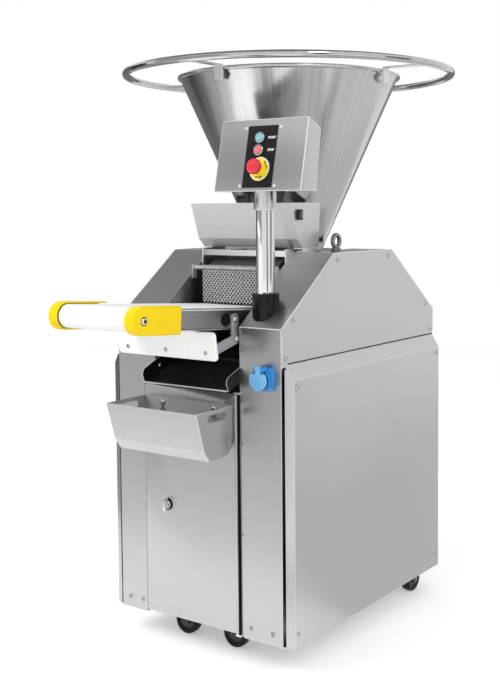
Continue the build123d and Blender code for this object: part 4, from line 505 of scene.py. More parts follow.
angle = tree.nodes.new("ShaderNodeMath")
angle.operation = "ARCTAN2"
around = tree.nodes.new("ShaderNodeCombineXYZ")
streaks = tree.nodes.new("ShaderNodeTexNoise")
streaks.inputs["Scale"].default_value = STREAK_SCALE
streaks.inputs["Detail"].default_value = STREAK_DETAIL
low_rise = tree.nodes.new("ShaderNodeMath")
low_rise.operation = "MULTIPLY"
low_rise.inputs[1].default_value = STREAK_RISE
tree.links.new(place.outputs["Object"], centred.inputs["Vector"])
tree.links.new(centred.outputs["Vector"], apart.inputs["Vector"])
tree.links.new(apart.outputs["Y"], angle.inputs[0])
tree.links.new(apart.outputs["X"], angle.inputs[1])
tree.links.new(apart.outputs["Z"], low_rise.inputs[0])
tree.links.new(angle.outputs["Value"], around.inputs["X"])
tree.links.new(low_rise.outputs["Value"], around.inputs["Z"])
tree.links.new(around.outputs["Vector"], streaks.inputs["Vector"])
tint(polish, streaks.outputs["Fac"], POLISH_DARK, POLISH_LIGHT)
vary_gloss(polish, streaks.outputs["Fac"], low=0.15, high=0.23)
cone_profile = [
    (OUTLET_RADIUS - CONE_WALL, FLANGE_FOOT),
    (FLANGE_RADIUS, FLANGE_FOOT),
    (FLANGE_RADIUS, OUTLET_HEIGHT),
    (OUTLET_RADIUS, OUTLET_HEIGHT),
]
for step in range(BEAD_STEPS + 1):
    bend = BEAD_START + BEAD_TURN * step / BEAD_STEPS
    cone_profile.append((RIM_RADIUS + BEAD_RADIUS * cos(bend), RIM_HEIGHT + BEAD_RADIUS * sin(bend)))
cone_profile.append((OUTLET_RADIUS - CONE_WALL, OUTLET_HEIGHT))
cone_profile.append(cone_profile[0])
cone_shape = turned(cone_profile, (0, hopper_middle.y, 0), (0, 0, 1), ROUND_STEPS)
cone = stand_for("hopper", polish, shape=cone_shape)
# The cone's inside faces take a paler, duller copy of the steel: painted light that makes the inside look
# lit.
hopper_inside_lit = brushed_steel("hopper_inside_lit", INSIDE_LIT_DARK, INSIDE_LIT_LIGHT, (1, 1, 0.02), roughness=0.5)
cone.data.materials.append(hopper_inside_lit)
for face in cone.data.polygons:
    inward = Vector((hopper_middle.x - face.center.x, hopper_middle.y - face.center.y, 0))
    if face.normal.dot(inward) > 0 and face.normal.z > 0:
        face.material_index = 1

# Guard ring and its arms
# A bent and welded tube round the hopper's mouth, on four flat bars that hook over the curled rim.
BAR_DARK = (0.66, 0.66, 0.665)
BAR_LIGHT = (0.74, 0.74, 0.745)
RING_DARK = (0.46, 0.46, 0.465)
RING_LIGHT = (0.53, 0.53, 0.535)
RING_TUBE = 0.010
RING_FACETS = 20
ring_low, ring_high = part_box("guard_ring")
ring_middle = (ring_low + ring_high) / 2
ring_radius = (ring_high.y - ring_low.y) / 2 - RING_TUBE
ring_profile = []
for facet in range(RING_FACETS + 1):
    bend = 2 * pi * facet / RING_FACETS
    ring_profile.append((ring_radius + RING_TUBE * cos(bend), RING_TUBE * sin(bend)))
ring_polish = new_finish("ring_polish", RING_LIGHT, roughness=0.12, metallic=1.0)
ring_clouds = grain(ring_polish, scale=45)
tint(ring_polish, ring_clouds, RING_DARK, RING_LIGHT)
vary_gloss(ring_polish, ring_clouds, low=0.09, high=0.15)
ring_shape = turned(ring_profile, ring_middle, (0, 0, 1), ROUND_STEPS)
stand_for("guard_ring", ring_polish, shape=ring_shape)
bar_steel = brushed_steel("bar_steel", BAR_DARK, BAR_LIGHT, stretch=(1, 1, 0.05), roughness=0.26)
stand_for("ring_arms", bar_steel, edge=0.0008)

# Lifting eyes
# Forged and plated eye bolts, screwed down on the cheeks' tops.
EYE_DARK = (0.16, 0.16, 0.165)
EYE_LIGHT = (0.30, 0.30, 0.305)
eye_plating = new_finish("eye_plating", EYE_LIGHT, roughness=0.25, metallic=1.0)
tint(eye_plating, grain(eye_plating, scale=90, detail=4), EYE_DARK, EYE_LIGHT)
stand_for("lifting_eyes", eye_plating, edge=0.001)

# Outfeed conveyor
# Two stainless side plates carry the rollers and the slider bed. The belt is smooth white food-grade
# sheet, and moulded yellow caps, screwed on at the nose shaft, cover its front corners.
BELT_WHITE = (0.94, 0.94, 0.935)
BELT_SHADE = (0.91, 0.91, 0.905)
CAP_YELLOW = (0.95, 0.69, 0.004)
CAP_DEEP = (0.92, 0.64, 0.003)
SIDE_DARK = (0.26, 0.26, 0.265)
SIDE_LIGHT = (0.34, 0.34, 0.345)
CAP_EDGE = 0.0016
CAP_SCREW_RADIUS = 0.0088
CAP_SCREW_HEIGHT = 0.004
side_steel = brushed_steel("conveyor_side_steel", SIDE_DARK, SIDE_LIGHT, GRAIN_LENGTHWISE, roughness=0.34)
folded("conveyor_frame", side_steel)
stand_for("drive_roller", bright_steel, edge=0.0008)
stand_for("nose_roller", bright_steel, edge=0.0008)
belt_sheet = new_finish("belt_sheet", BELT_WHITE, roughness=0.42)
belt_cloth = grain(belt_sheet, scale=700, detail=2)
belt_marks = grain(belt_sheet, scale=30, detail=4, stretch=(1, 0.2, 1))
tint(belt_sheet, belt_marks, BELT_SHADE, BELT_WHITE, low=0.2, high=0.6)
relief(belt_sheet, belt_cloth, strength=0.08, distance=0.0004)
stand_for("conveyor_belt", belt_sheet, edge=0.0008)
cap_plastic = new_finish("cap_plastic", CAP_YELLOW, roughness=0.42)
shine(cap_plastic, 0.12)
tint(cap_plastic, grain(cap_plastic, scale=25), CAP_DEEP, CAP_YELLOW)
relief(cap_plastic, grain(cap_plastic, scale=800, detail=2), strength=0.06, distance=0.0004)
stand_for("conveyor_caps", cap_plastic, CAP_EDGE)
nose_middle = middle_of("nose_roller")
cap_low, cap_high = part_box("conveyor_caps")
cap_screws = []
for x, side in ((cap_low.x, -1), (cap_high.x, 1)):
    seat = Vector((x, nose_middle.y, nose_middle.z))
    cap_screws.append(screw_head(seat, (side, 0, 0), CAP_SCREW_RADIUS, CAP_SCREW_HEIGHT))
set_piece("cap_screws", gathered(cap_screws), screw_finish, "cabinet")

# Scraper
# A white nylon plate under the belt, screwed to a stainless backing on two bent arms and obround links.
NYLON_WHITE = (0.97, 0.97, 0.965)
PALE_DARK = (0.70, 0.70, 0.705)
PALE_LIGHT = (0.76, 0.76, 0.765)
SCRAPER_SCREW_RADIUS = 0.0045
SCRAPER_SCREW_HEIGHT = 0.003
SCRAPER_SCREW_SPAN = 0.130
SCRAPER_SCREW_RISE = 0.012
SCRAPER_LEAN = radians(9)
ARM_DARK = (0.36, 0.36, 0.365)
ARM_LIGHT = (0.46, 0.46, 0.465)
LINK_BOLTS = ((0.1340, -0.2680, 0.9000), (0.1380, -0.2680, 0.8500))
LINK_BOLT_RADIUS = 0.0078
LINK_BOLT_HEIGHT = 0.0045
HUB_PLACE = (0.1300, -0.3015, 0.9000)
HUB_RADIUS = 0.0170
HUB_HEIGHT = 0.0040
SIDE_HUB_PROFILE = ((0, 1), (0.5, 1), (0.55, 0.75), (0.9, 0.75), (1, 0.55), (1, 0), (0, 0))
HUB_BLACK = (0.004, 0.004, 0.004)
nylon = new_finish("scraper_nylon", NYLON_WHITE, roughness=0.38)
tint(nylon, grain(nylon, scale=60, stretch=(1, 1, 0.05)), BELT_WHITE, NYLON_WHITE, low=0.25, high=0.6)
stand_for("scraper_plate", nylon, edge=0.0012)
pale_steel = brushed_steel("pale_steel", PALE_DARK, PALE_LIGHT, GRAIN_LENGTHWISE, roughness=0.34)
arm_steel = brushed_steel("arm_steel", ARM_DARK, ARM_LIGHT, GRAIN_LENGTHWISE, roughness=0.34, metallic=0.45)
# The arms' broken edges take the bright finish, a painted highlight.
stand_for("scraper_arms", (arm_steel, bare_steel_and_highlight), SHEET_EDGE, highlight_slot=1)
link_bolts = []
for side in (-1, 1):
    for x, y, z in LINK_BOLTS:
        seat = Vector((side * x, y, z))
        link_bolts.append(screw_head(seat, (side, 0, 0), LINK_BOLT_RADIUS, LINK_BOLT_HEIGHT))
set_piece("link_bolts", gathered(link_bolts), screw_finish, "cabinet")
scraper_out = Vector((0, -cos(SCRAPER_LEAN), -sin(SCRAPER_LEAN)))
scraper_up = Vector((0, -sin(SCRAPER_LEAN), cos(SCRAPER_LEAN)))
plate_corners = [vert.co for vert in nodes["scraper_plate"].data.vertices]
foot = max(plate_corners, key=lambda corner: (corner.dot(scraper_out), -corner.z, corner.y))
screw_rise = SCRAPER_SCREW_RISE + foot.dot(scraper_up)
scraper_screws = []
for x in (-SCRAPER_SCREW_SPAN, 0, SCRAPER_SCREW_SPAN):
    seat = scraper_out * foot.dot(scraper_out) + scraper_up * screw_rise + Vector((x, 0, 0))
    scraper_screws.append(screw_head(seat, scraper_out, SCRAPER_SCREW_RADIUS, SCRAPER_SCREW_HEIGHT))
hub_profile = [(share * HUB_RADIUS, rise * HUB_HEIGHT) for share, rise in SIDE_HUB_PROFILE]
side_hubs = []
for side in (-1, 1):
    hub_seat = Vector((side * HUB_PLACE[0], HUB_PLACE[1], HUB_PLACE[2]))
    side_hubs.append(turned(hub_profile, hub_seat, (side, 0, 0), steps=32))
# This black finish serves the side hubs, and also painted shade on the door's seam and round the latch.
black_hub_and_shade = new_finish("black_hub_and_shade", HUB_BLACK, roughness=0.5)
shine(black_hub_and_shade, 0.15)
relief(black_hub_and_shade, grain(black_hub_and_shade, scale=700), strength=0.15, distance=0.0004)
set_piece("side_hubs", gathered(side_hubs), black_hub_and_shade, "cabinet")
set_piece("scraper_screws", gathered(scraper_screws), screw_finish, "cabinet")

# Chute
# Folded sheet with a black non-stick coating, worn a little greyer where flour slides.
COATING = (0.005, 0.005, 0.0055)
COATING_WORN = (0.018, 0.018, 0.0185)
LIP_DEPTH = 0.0016
LIP_HEIGHT = 0.0045
CHUTE_SCREW = (-0.1410, -0.2480, 0.7581)
CHUTE_SCREW_RADIUS = 0.0065
CHUTE_SCREW_HEIGHT = 0.004
coating = new_finish("chute_coating", COATING, roughness=0.42)
coating_wear = grain(coating, scale=40, detail=5, stretch=(1, 0.15, 1))
tint(coating, coating_wear, COATING, COATING_WORN, low=0.4, high=0.75)
relief(coating, grain(coating, scale=600), strength=0.25, distance=0.0005)
shine(coating, 0.25)
# The chute's cut edges take the bright finish: bare steel, with a painted highlight.
folded("chute", coating, highlight_slot=0)
chute_low, chute_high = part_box("chute")
# A pale steel strip along the chute's lower front edge is bare steel made pale as a painted highlight.
lip = bmesh.new()
bmesh.ops.create_cube(lip, size=1)
bmesh.ops.scale(lip, vec=(chute_high.x - chute_low.x, LIP_DEPTH, LIP_HEIGHT), verts=lip.verts)
lip_middle = Vector((0, chute_low.y - LIP_DEPTH / 2, chute_low.z + LIP_HEIGHT / 2))
bmesh.ops.translate(lip, vec=lip_middle, verts=lip.verts)
break_edges(lip, width=0.0005, fold=32)
set_piece("chute_lip_highlight", lip, pale_steel, "cabinet")
chute_screw = screw_head(CHUTE_SCREW, (1, 0, 0), CHUTE_SCREW_RADIUS, CHUTE_SCREW_HEIGHT)
set_piece("chute_screw", chute_screw, screw_finish, "cabinet")

# Door, hinge pins and latch
# A flanged sheet door with a rolled edge on two pins, closed by a chromed wing latch.
# The rolled edge's faces toward the seam beside the hinge are painted black: a painted shadow in the seam.
CHROME = (0.66, 0.66, 0.67)
STUD_PLACES = ((-0.114, 0.663), (0.062, 0.663))
STUD_FACE = -0.2720
STUD_CAP_RADIUS = 0.0078
STUD_CAP_HEIGHT = 0.0022
LATCH_SHADE_INNER = 0.0124
LATCH_SHADE_OUTER = 0.0158
LATCH_SHADE_HEIGHT = 0.0016
HINGE_SHADE_START = 0.1330
HINGE_SHADE_FACING = 0.55
STUD_CAP_PROFILE = ((0, 1), (0.5, 0.85), (0.85, 0.45), (1, 0), (0, 0))


def joint(name):
    """A joint of the machine by its name."""
    return next(entry for entry in behaviour["joints"] if entry["name"] == name)


chrome = new_finish("chrome", CHROME, roughness=0.09, metallic=1.0)
vary_gloss(chrome, grain(chrome, scale=60), low=0.06, high=0.14)
door = folded("door", upright_grain, fold=32)
door.data.materials.append(black_hub_and_shade)
# Faces of the rolled edge that face the hinge seam take the black finish, a painted shadow.
for face in door.data.polygons:
    if face.normal.x > HINGE_SHADE_FACING and face.center.x > HINGE_SHADE_START:
        face.material_index = 2
stand_for("hinge_pins", bright_steel, edge=0.0004)
stand_for("door_latch", chrome, edge=0.0022)
# A black ring round the latch's rose is painted shade, standing for the dark edge round it.
latch_shade_profile = (
    (LATCH_SHADE_INNER, 0),
    (LATCH_SHADE_OUTER, 0),
    (LATCH_SHADE_OUTER, LATCH_SHADE_HEIGHT),
    (LATCH_SHADE_INNER, LATCH_SHADE_HEIGHT),
    (LATCH_SHADE_INNER, 0),
)
latch_shade = turned(latch_shade_profile, Vector(joint("latch_turn")["pos_m"]), (0, -1, 0), steps=36)
set_piece("latch_shade_ring", latch_shade, black_hub_and_shade, "door")
dome = [(share * STUD_CAP_RADIUS, rise * STUD_CAP_HEIGHT) for share, rise in STUD_CAP_PROFILE]
stud_caps = []
for x, z in STUD_PLACES:
    stud_caps.append(turned(dome, Vector((x, STUD_FACE, z)), (0, -1, 0), steps=24))
set_piece("stud_caps", gathered(stud_caps), chrome, "door")

# Catch tray
# A folded stainless bin with hand slots, hung by keyholes on the door's two studs.
# Trimmings and scouring have left its inside pale and dull.
SCOURED_DARK = (0.48, 0.48, 0.485)
SCOURED_LIGHT = (0.56, 0.56, 0.565)
scoured = brushed_steel(
    "scoured_steel", SCOURED_DARK, SCOURED_LIGHT, GRAIN_LENGTHWISE, roughness=0.5, metallic=0.5
)
tray = folded("catch_tray", level_grain, fold=24)
tray.data.materials.append(scoured)
tray_middle = middle_of("catch_tray")
for face in tray.data.polygons:
    if face.normal.dot(tray_middle - face.center) > 0:
        face.material_index = 2

# Control column and boot
# A polished stainless tube that carries the control box, sealed at its foot by a black rubber boot.
BOOT_BLACK = (0.004, 0.004, 0.004)
BOOT_GREY = (0.010, 0.010, 0.010)
TUBE_DARK = (0.66, 0.66, 0.665)
TUBE_LIGHT = (0.72, 0.72, 0.725)
tube_polish = new_finish("tube_polish", TUBE_LIGHT, roughness=0.12, metallic=1.0)
tube_clouds = grain(tube_polish, scale=45, stretch=(1, 1, 0.2))
tint(tube_polish, tube_clouds, TUBE_DARK, TUBE_LIGHT)
vary_gloss(tube_polish, tube_clouds, low=0.09, high=0.15)
stand_for("control_column", tube_polish, edge=0.0005)
boot_rubber = new_finish("boot_rubber", BOOT_BLACK, roughness=0.18)
tint(boot_rubber, grain(boot_rubber, scale=70, detail=4, stretch=(1, 1, 0.3)), BOOT_BLACK, BOOT_GREY)
shine(boot_rubber, 0.2)
stand_for("column_boot", boot_rubber, edge=0.001)

# Control box
# A leaning stainless box with a plain lid at its back and the column's socket welded under it.
# A black engraved plate, screwed on at its corners, holds the push buttons and the emergency stop.
PLATE_BLACK = (0.004, 0.004, 0.004)
PLATE_WORN = (0.009, 0.009, 0.009)
BEZEL_DARK = (0.36, 0.40, 0.42)
BEZEL_LIGHT = (0.56, 0.60, 0.62)
SLEEVE_SCREW = (0.1900, -0.2430, 1.2080)
SLEEVE_SCREW_RADIUS = 0.0040
SLEEVE_SCREW_HEIGHT = 0.0015
PLATE_SCREW_RADIUS = 0.0035
PLATE_SCREW_HEIGHT = 0.0015
PLATE_SCREW_ACROSS = 0.054
PLATE_SCREW_UP = 0.075
START_TEAL = (0.24, 0.58, 0.62)
STOP_RED = (0.80, 0.20, 0.23)
MUSHROOM_RED = (0.78, 0.030, 0.055)
DISC_YELLOW = (0.95, 0.76, 0.012)
RIM_WHITE = (0.85, 0.85, 0.83)
MARK_WHITE = (0.95, 0.95, 0.95)
MARK_SIZE = 0.0080
MARK_STROKE = 0.035
MARK_OFFSET = 0.0350
MARK_RISE = 0.0002
DISC_MARK_SIZE = 0.0085
DISC_MARK_REACH = 0.0225
DISC_MARK_TURNS = (0, 120)
DISC_FACE = 0.0021
DISC_RIM_PROFILE = (
    (0.0272, 0.0020), (0.0272, 0.0024), (0.0298, 0.0024), (0.0302, 0.0018),
    (0.0302, 0.0), (0.0301, 0.0), (0.0301, 0.0019), (0.0272, 0.0020),
)
LENS_PROFILE = (
    (0, 1), (0.0060, 1), (0.0066, 0.90), (0.0080, 0.90),
    (0.0100, 0.84), (0.0110, 0.62), (0.0110, 0), (0, 0),
)
MUSHROOM_PROFILE = (
    (0, 0), (0.0100, 0), (0.0100, 0.0115), (0.0145, 0.0115), (0.0184, 0.0130), (0.0200, 0.0170),
    (0.0200, 0.0215), (0.0190, 0.0258), (0.0160, 0.0284), (0.0100, 0.0294), (0, 0.0295),
)
panel_out = -Vector(joint("start_press")["axis"]).normalized()
panel_up = Vector((1, 0, 0)).cross(panel_out) * -1


def along(name, axis):
    """How far a node reaches along an axis: its lowest and highest value."""
    reach = [vert.co.dot(axis) for vert in nodes[name].data.vertices]
    return min(reach), max(reach)


def centre_on(name, axis, height):
    """The point on a node's own axis at a given height along that axis."""
    middle = middle_of(name)
    return middle + axis * (height - middle.dot(axis))


def shaded(color, share):
    """A colour brought down to a share of its light."""
    return [share * part for part in color]


folded("control_box", level_grain, fold=24)
folded("control_box_lid", level_grain)
sleeve_screw = screw_head(SLEEVE_SCREW, (0, -1, 0), SLEEVE_SCREW_RADIUS, SLEEVE_SCREW_HEIGHT)
set_piece("sleeve_screw", sleeve_screw, screw_finish, "cabinet")
engraved = new_finish("engraved_plate", PLATE_BLACK, roughness=0.35)
tint(engraved, grain(engraved, scale=120, detail=4), PLATE_BLACK, PLATE_WORN)
stand_for("button_plate", engraved, edge=0.0004)
shine(engraved, 0.3)
bezel_metal = new_finish("bezel_metal", BEZEL_LIGHT, roughness=0.2, metallic=1.0)
tint(bezel_metal, grain(bezel_metal, scale=160), BEZEL_DARK, BEZEL_LIGHT)
stand_for("button_bezels", bezel_metal, edge=0.0010)
plate_face = along("button_plate", panel_out)[0]
plate_middle = centre_on("button_plate", panel_out, plate_face)
plate_screws = []
for x in (-PLATE_SCREW_ACROSS, PLATE_SCREW_ACROSS):
    for up in (-PLATE_SCREW_UP, PLATE_SCREW_UP):
        seat = plate_middle + Vector((x, 0, 0)) + panel_up * up
        plate_screws.append(screw_head(seat, panel_out, PLATE_SCREW_RADIUS, PLATE_SCREW_HEIGHT))
set_piece("plate_screws", gathered(plate_screws), (bare_steel_and_highlight, bare_steel_and_highlight), "cabinet")


def lettering(words, size, place, turn=0):
    """Flat bold letters that lie on the leaning panel, turned about its face."""
    line = bpy.data.curves.new("lettering", "FONT")
    line.body = words
    line.size = size
    line.offset = MARK_STROKE * size
    line.align_x = "CENTER"
    line.align_y = "CENTER"
    writing = bpy.data.objects.new("lettering", line)
    bpy.context.scene.collection.objects.link(writing)
    flat = bpy.data.meshes.new_from_object(writing)
    bpy.data.objects.remove(writing)
    shape = bmesh.new()
    shape.from_mesh(flat)
    bpy.data.meshes.remove(flat)
    lie = Matrix(((1, 0, 0), panel_up, panel_out)).transposed().to_4x4()
    spin = Matrix.Rotation(radians(turn), 4, "Z")
    bmesh.ops.transform(shape, matrix=Matrix.Translation(place) @ lie @ spin, verts=shape.verts)
    return shape


mark_paint = new_finish("mark_paint", MARK_WHITE, roughness=0.5)
tint(mark_paint, grain(mark_paint, scale=200), shaded(MARK_WHITE, 0.95), MARK_WHITE)
plate_front = along("button_plate", panel_out)[1]
for name, words in (("start_button", "START"), ("stop_button", "STOP")):
    beside = centre_on(name, panel_out, plate_front + MARK_RISE) + Vector((MARK_OFFSET, 0, 0))
    legend = lettering(words, MARK_SIZE, beside)
    set_piece(name + "_legend", legend, mark_paint, "cabinet")

for name, color in (("start_button", START_TEAL), ("stop_button", STOP_RED)):
    lens = new_finish(name + "_lens", color, roughness=0.12)
    tint(lens, grain(lens, scale=80, detail=2), shaded(color, 0.8), color)
    foot, top = along(name, panel_out)
    lens_profile = [(radius, rise * (top - foot)) for radius, rise in LENS_PROFILE]
    lens_shape = turned(lens_profile, centre_on(name, panel_out, foot), panel_out, steps=32)
    stand_for(name, lens, shape=lens_shape)

disc_plastic = new_finish("disc_plastic", DISC_YELLOW, roughness=0.4)
tint(disc_plastic, grain(disc_plastic, scale=90, detail=2), shaded(DISC_YELLOW, 0.93), DISC_YELLOW)
stand_for("estop_base", disc_plastic, edge=0.0005)
rim_plastic = new_finish("disc_rim", RIM_WHITE, roughness=0.4)
tint(rim_plastic, grain(rim_plastic, scale=90, detail=2), shaded(RIM_WHITE, 0.93), RIM_WHITE)
disc_foot = along("estop_base", panel_out)[0]
disc_centre = centre_on("estop_button", panel_out, disc_foot)
disc_rim = turned(DISC_RIM_PROFILE, disc_centre, panel_out, steps=48)
set_piece("estop_rim", disc_rim, rim_plastic, "cabinet")
disc_words = []
for turn in DISC_MARK_TURNS:
    spoke = panel_up * -cos(radians(turn)) + Vector((sin(radians(turn)), 0, 0))
    place = disc_centre + panel_out * DISC_FACE + spoke * DISC_MARK_REACH
    disc_words.append(lettering("STOP", DISC_MARK_SIZE, place, turn))
set_piece("estop_legend", gathered(disc_words), engraved, "cabinet")
mushroom_foot = along("estop_button", panel_out)[0]
mushroom = new_finish("mushroom_plastic", MUSHROOM_RED, roughness=0.16)
tint(mushroom, grain(mushroom, scale=40, detail=2), shaded(MUSHROOM_RED, 0.85), MUSHROOM_RED)
mushroom_seat = centre_on("estop_button", panel_out, mushroom_foot)
mushroom_shape = turned(MUSHROOM_PROFILE, mushroom_seat, panel_out, steps=40)
stand_for("estop_button", mushroom, shape=mushroom_shape)

black_plastic = new_finish("black_plastic", PLATE_BLACK, roughness=0.42)
relief(black_plastic, grain(black_plastic, scale=900, detail=2), strength=0.15, distance=0.0004)
stand_for("cable_glands", black_plastic, edge=0.0008)

# Flour duster
# A folded stainless trough over a fluted roller, with a closed drive box and a black rocker switch
# at its end. The trough's faces turned down and forward are painted paler and duller: flour dust,
# and painted light that makes them look lit.
DUSTER_DARK = (0.60, 0.60, 0.605)
DUSTER_LIGHT = (0.63, 0.63, 0.635)
LIT_FRONT_DARK = (0.72, 0.72, 0.725)
LIT_FRONT_LIGHT = (0.76, 0.76, 0.765)
FLOUR_AND_LIT_DARK = (0.80, 0.80, 0.80)
FLOUR_AND_LIT_LIGHT = (0.88, 0.88, 0.88)
SWITCH_FRAME_DEPTH = 0.0076
FLOUR_AND_LIT_FACING = -0.3
LIT_FRONT_FACING = -0.5
ROCKER_GREY = (0.055, 0.055, 0.057)
ROCKER_WORN = (0.080, 0.080, 0.082)
duster_sheet = brushed_steel("duster_sheet", DUSTER_DARK, DUSTER_LIGHT, GRAIN_ACROSS, roughness=0.44)
trough = folded("duster_hopper", duster_sheet)
# Faces turned down and forward are painted paler: flour dust and painted light together.
flour_and_lit = brushed_steel("flour_and_lit_sheet", FLOUR_AND_LIT_DARK, FLOUR_AND_LIT_LIGHT, GRAIN_ACROSS, roughness=0.68)
trough.data.materials.append(flour_and_lit)
for face in trough.data.polygons:
    if face.normal.z < FLOUR_AND_LIT_FACING and face.normal.y < 0:
        face.material_index = 2
drive_box = folded("duster_drive_box", duster_sheet)
drive_box.data.materials.append(black_plastic)
# The drive box's front faces take a paler copy of the sheet: painted light, as if lit from the front.
lit_drive_front = brushed_steel("drive_box_lit_front", LIT_FRONT_DARK, LIT_FRONT_LIGHT, GRAIN_ACROSS, roughness=0.5)
drive_box.data.materials.append(lit_drive_front)
frame_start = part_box("duster_drive_box")[1].x - SWITCH_FRAME_DEPTH
for face in drive_box.data.polygons:
    if face.center.x > frame_start:
        face.material_index = 2
    elif face.normal.y < LIT_FRONT_FACING:
        face.material_index = 3
folded("duster_brackets", pale_steel)
stand_for("duster_roller", bright_steel, edge=0.0005)
rocker_plastic = new_finish("rocker_plastic", ROCKER_GREY, roughness=0.3)
tint(rocker_plastic, grain(rocker_plastic, scale=150), ROCKER_GREY, ROCKER_WORN)
stand_for("duster_rocker", rocker_plastic, edge=0.0006)

# Mat bar and mesh mat
# A steel bar between the cheeks, with a mat of flat spiral wire hung from it. The mat's weight rolls
# the pieces round on the belt.
WIRE_RADIUS = 0.0014
WIRE_DEPTH = 0.0026
MAT_ROWS = 14
MAT_LOOPS = 19
LOOP_POINTS = 8
LOOP_SHARE = 0.66
MAT_FACE_DEPTH = 0.0015
WIRE_DARK = (0.64, 0.64, 0.645)
WIRE_LIGHT = (0.86, 0.86, 0.865)
stand_for("mat_bar", zinc, edge=0.0006)
mat_low, mat_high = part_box("mesh_mat")
mat_joint = Vector(joint("mat_swing")["pos_m"])
mat_face = mat_low.y + MAT_FACE_DEPTH
coil_radius = mat_joint.y - mat_face
row_height = (mat_joint.z - coil_radius - mat_low.z) / MAT_ROWS
mat_width = mat_high.x - mat_low.x
wire_points = MAT_LOOPS * LOOP_POINTS


def spiral(y, z, depth, half, shift):
    """Points along a flat spiral across the mat, about a line at a given depth and height."""
    path = []
    for step in range(wire_points):
        turn = 2 * pi * (step / LOOP_POINTS + shift)
        x = mat_low.x + mat_width * step / (wire_points - 1)
        path.append((x, y + depth * sin(turn), z + half * cos(turn)))
    return path


spirals = []
for row in range(MAT_ROWS):
    row_z = mat_low.z + (row + 0.5) * row_height
    spirals.append(spiral(mat_face, row_z, WIRE_DEPTH, LOOP_SHARE * row_height, 0.5 * (row % 2)))
spirals.append(spiral(mat_joint.y, mat_joint.z, coil_radius, coil_radius, 0))
weave = tubes("mat_spirals", spirals, WIRE_RADIUS, "NURBS")
wire_steel = new_finish("wire_steel", WIRE_LIGHT, roughness=0.32, metallic=1.0)
tint(wire_steel, grain(wire_steel, scale=120), WIRE_DARK, WIRE_LIGHT)
stand_for("mesh_mat", wire_steel, shape=weave)

# Power socket
# A moulded blue flap socket on the right fascia, with its sprung round lid hinged at the top.
SOCKET_BLUE = (0.140, 0.460, 0.830)
SOCKET_PALE = (0.220, 0.540, 0.880)
BASE_BLUE = (0.020, 0.260, 0.680)
BASE_PALE = (0.040, 0.320, 0.740)
SEAL_BLACK = (0.010, 0.012, 0.016)
SEAL_OUTER = 0.0264
SEAL_INNER = 0.0245
SEAL_START = 0.0110
SEAL_END = 0.0155
SOCKET_SCREW_SPAN = 0.0225
SOCKET_SCREW_RADIUS = 0.0030
SOCKET_SCREW_HEIGHT = 0.0016
SOCKET_FACE = -0.2760
SOCKET_MIDDLE_Z = 0.754
socket_plastic = new_finish("socket_plastic", SOCKET_PALE, roughness=0.24)
tint(socket_plastic, grain(socket_plastic, scale=35), SOCKET_BLUE, SOCKET_PALE)
base_plastic = new_finish("socket_base_plastic", BASE_PALE, roughness=0.24)
tint(base_plastic, grain(base_plastic, scale=35), BASE_BLUE, BASE_PALE)
stand_for("socket_base", base_plastic, edge=0.001)
stand_for("socket_lid", socket_plastic, edge=0.0014)
socket_middle = middle_of("socket_base")
socket_seat = Vector((socket_middle.x, SOCKET_FACE, SOCKET_MIDDLE_Z))
seal_profile = (
    (SEAL_INNER, SEAL_START),
    (SEAL_OUTER, SEAL_START),
    (SEAL_OUTER, SEAL_END),
    (SEAL_INNER, SEAL_END),
    (SEAL_INNER, SEAL_START),
)
seal_rubber = new_finish("seal_rubber", SEAL_BLACK, roughness=0.5)
relief(seal_rubber, grain(seal_rubber, scale=700), strength=0.15, distance=0.0004)
socket_seal = turned(seal_profile, socket_seat, (0, -1, 0), steps=40)
set_piece("socket_seal", socket_seal, seal_rubber, "cabinet")
socket_screws = []
for side in (-SOCKET_SCREW_SPAN, SOCKET_SCREW_SPAN):
    seat = Vector((socket_middle.x + side, SOCKET_FACE, SOCKET_MIDDLE_Z - SOCKET_SCREW_SPAN))
    socket_screws.append(screw_head(seat, (0, -1, 0), SOCKET_SCREW_RADIUS, SOCKET_SCREW_HEIGHT))
set_piece("socket_screws", gathered(socket_screws), screw_finish, "cabinet")

# Studio
# A plain pale floor under soft lamps, in a white surround that the metal mirrors too.
# Grey cards stand out of the picture, as a photographer sets them to give bare metal its shading.
FLOOR_SIZE = 30.0
FLOOR_WHITE = (0.93, 0.93, 0.93)
FLOOR_LIFT = 0.32
SURROUND_LIGHT = 0.72


def toward_picture(tree, low, high):
    """A strength for rays that the camera or a mirror sees, and another for the rest."""
    rays = tree.nodes.new("ShaderNodeLightPath")
    seen = tree.nodes.new("ShaderNodeMath")
    seen.operation = "MAXIMUM"
    mirrored = tree.nodes.new("ShaderNodeMath")
    mirrored.operation = "MAXIMUM"
    strength = tree.nodes.new("ShaderNodeMapRange")
    strength.inputs["To Min"].default_value = low
    strength.inputs["To Max"].default_value = high
    tree.links.new(rays.outputs["Is Camera Ray"], seen.inputs[0])
    tree.links.new(rays.outputs["Is Glossy Ray"], seen.inputs[1])
    tree.links.new(seen.outputs["Value"], mirrored.inputs[0])
    tree.links.new(rays.outputs["Is Transmission Ray"], mirrored.inputs[1])
    tree.links.new(mirrored.outputs["Value"], strength.inputs["Value"])
    return strength.outputs["Result"]


def stage_sheet(name, width, height, finish, place):
    """A flat sheet of the studio, set by a matrix."""
    shape = bmesh.new()
    bmesh.ops.create_grid(shape, x_segments=1, y_segments=1, size=0.5)
    bmesh.ops.scale(shape, vec=(width, height, 1), verts=shape.verts)
    bmesh.ops.transform(shape, matrix=place, verts=shape.verts)
    mesh = bpy.data.meshes.new(name)
    shape.to_mesh(mesh)
    shape.free()
    mesh.materials.append(finish)
    sheet = bpy.data.objects.new(name, mesh)
    bpy.context.scene.collection.objects.link(sheet)
    return sheet


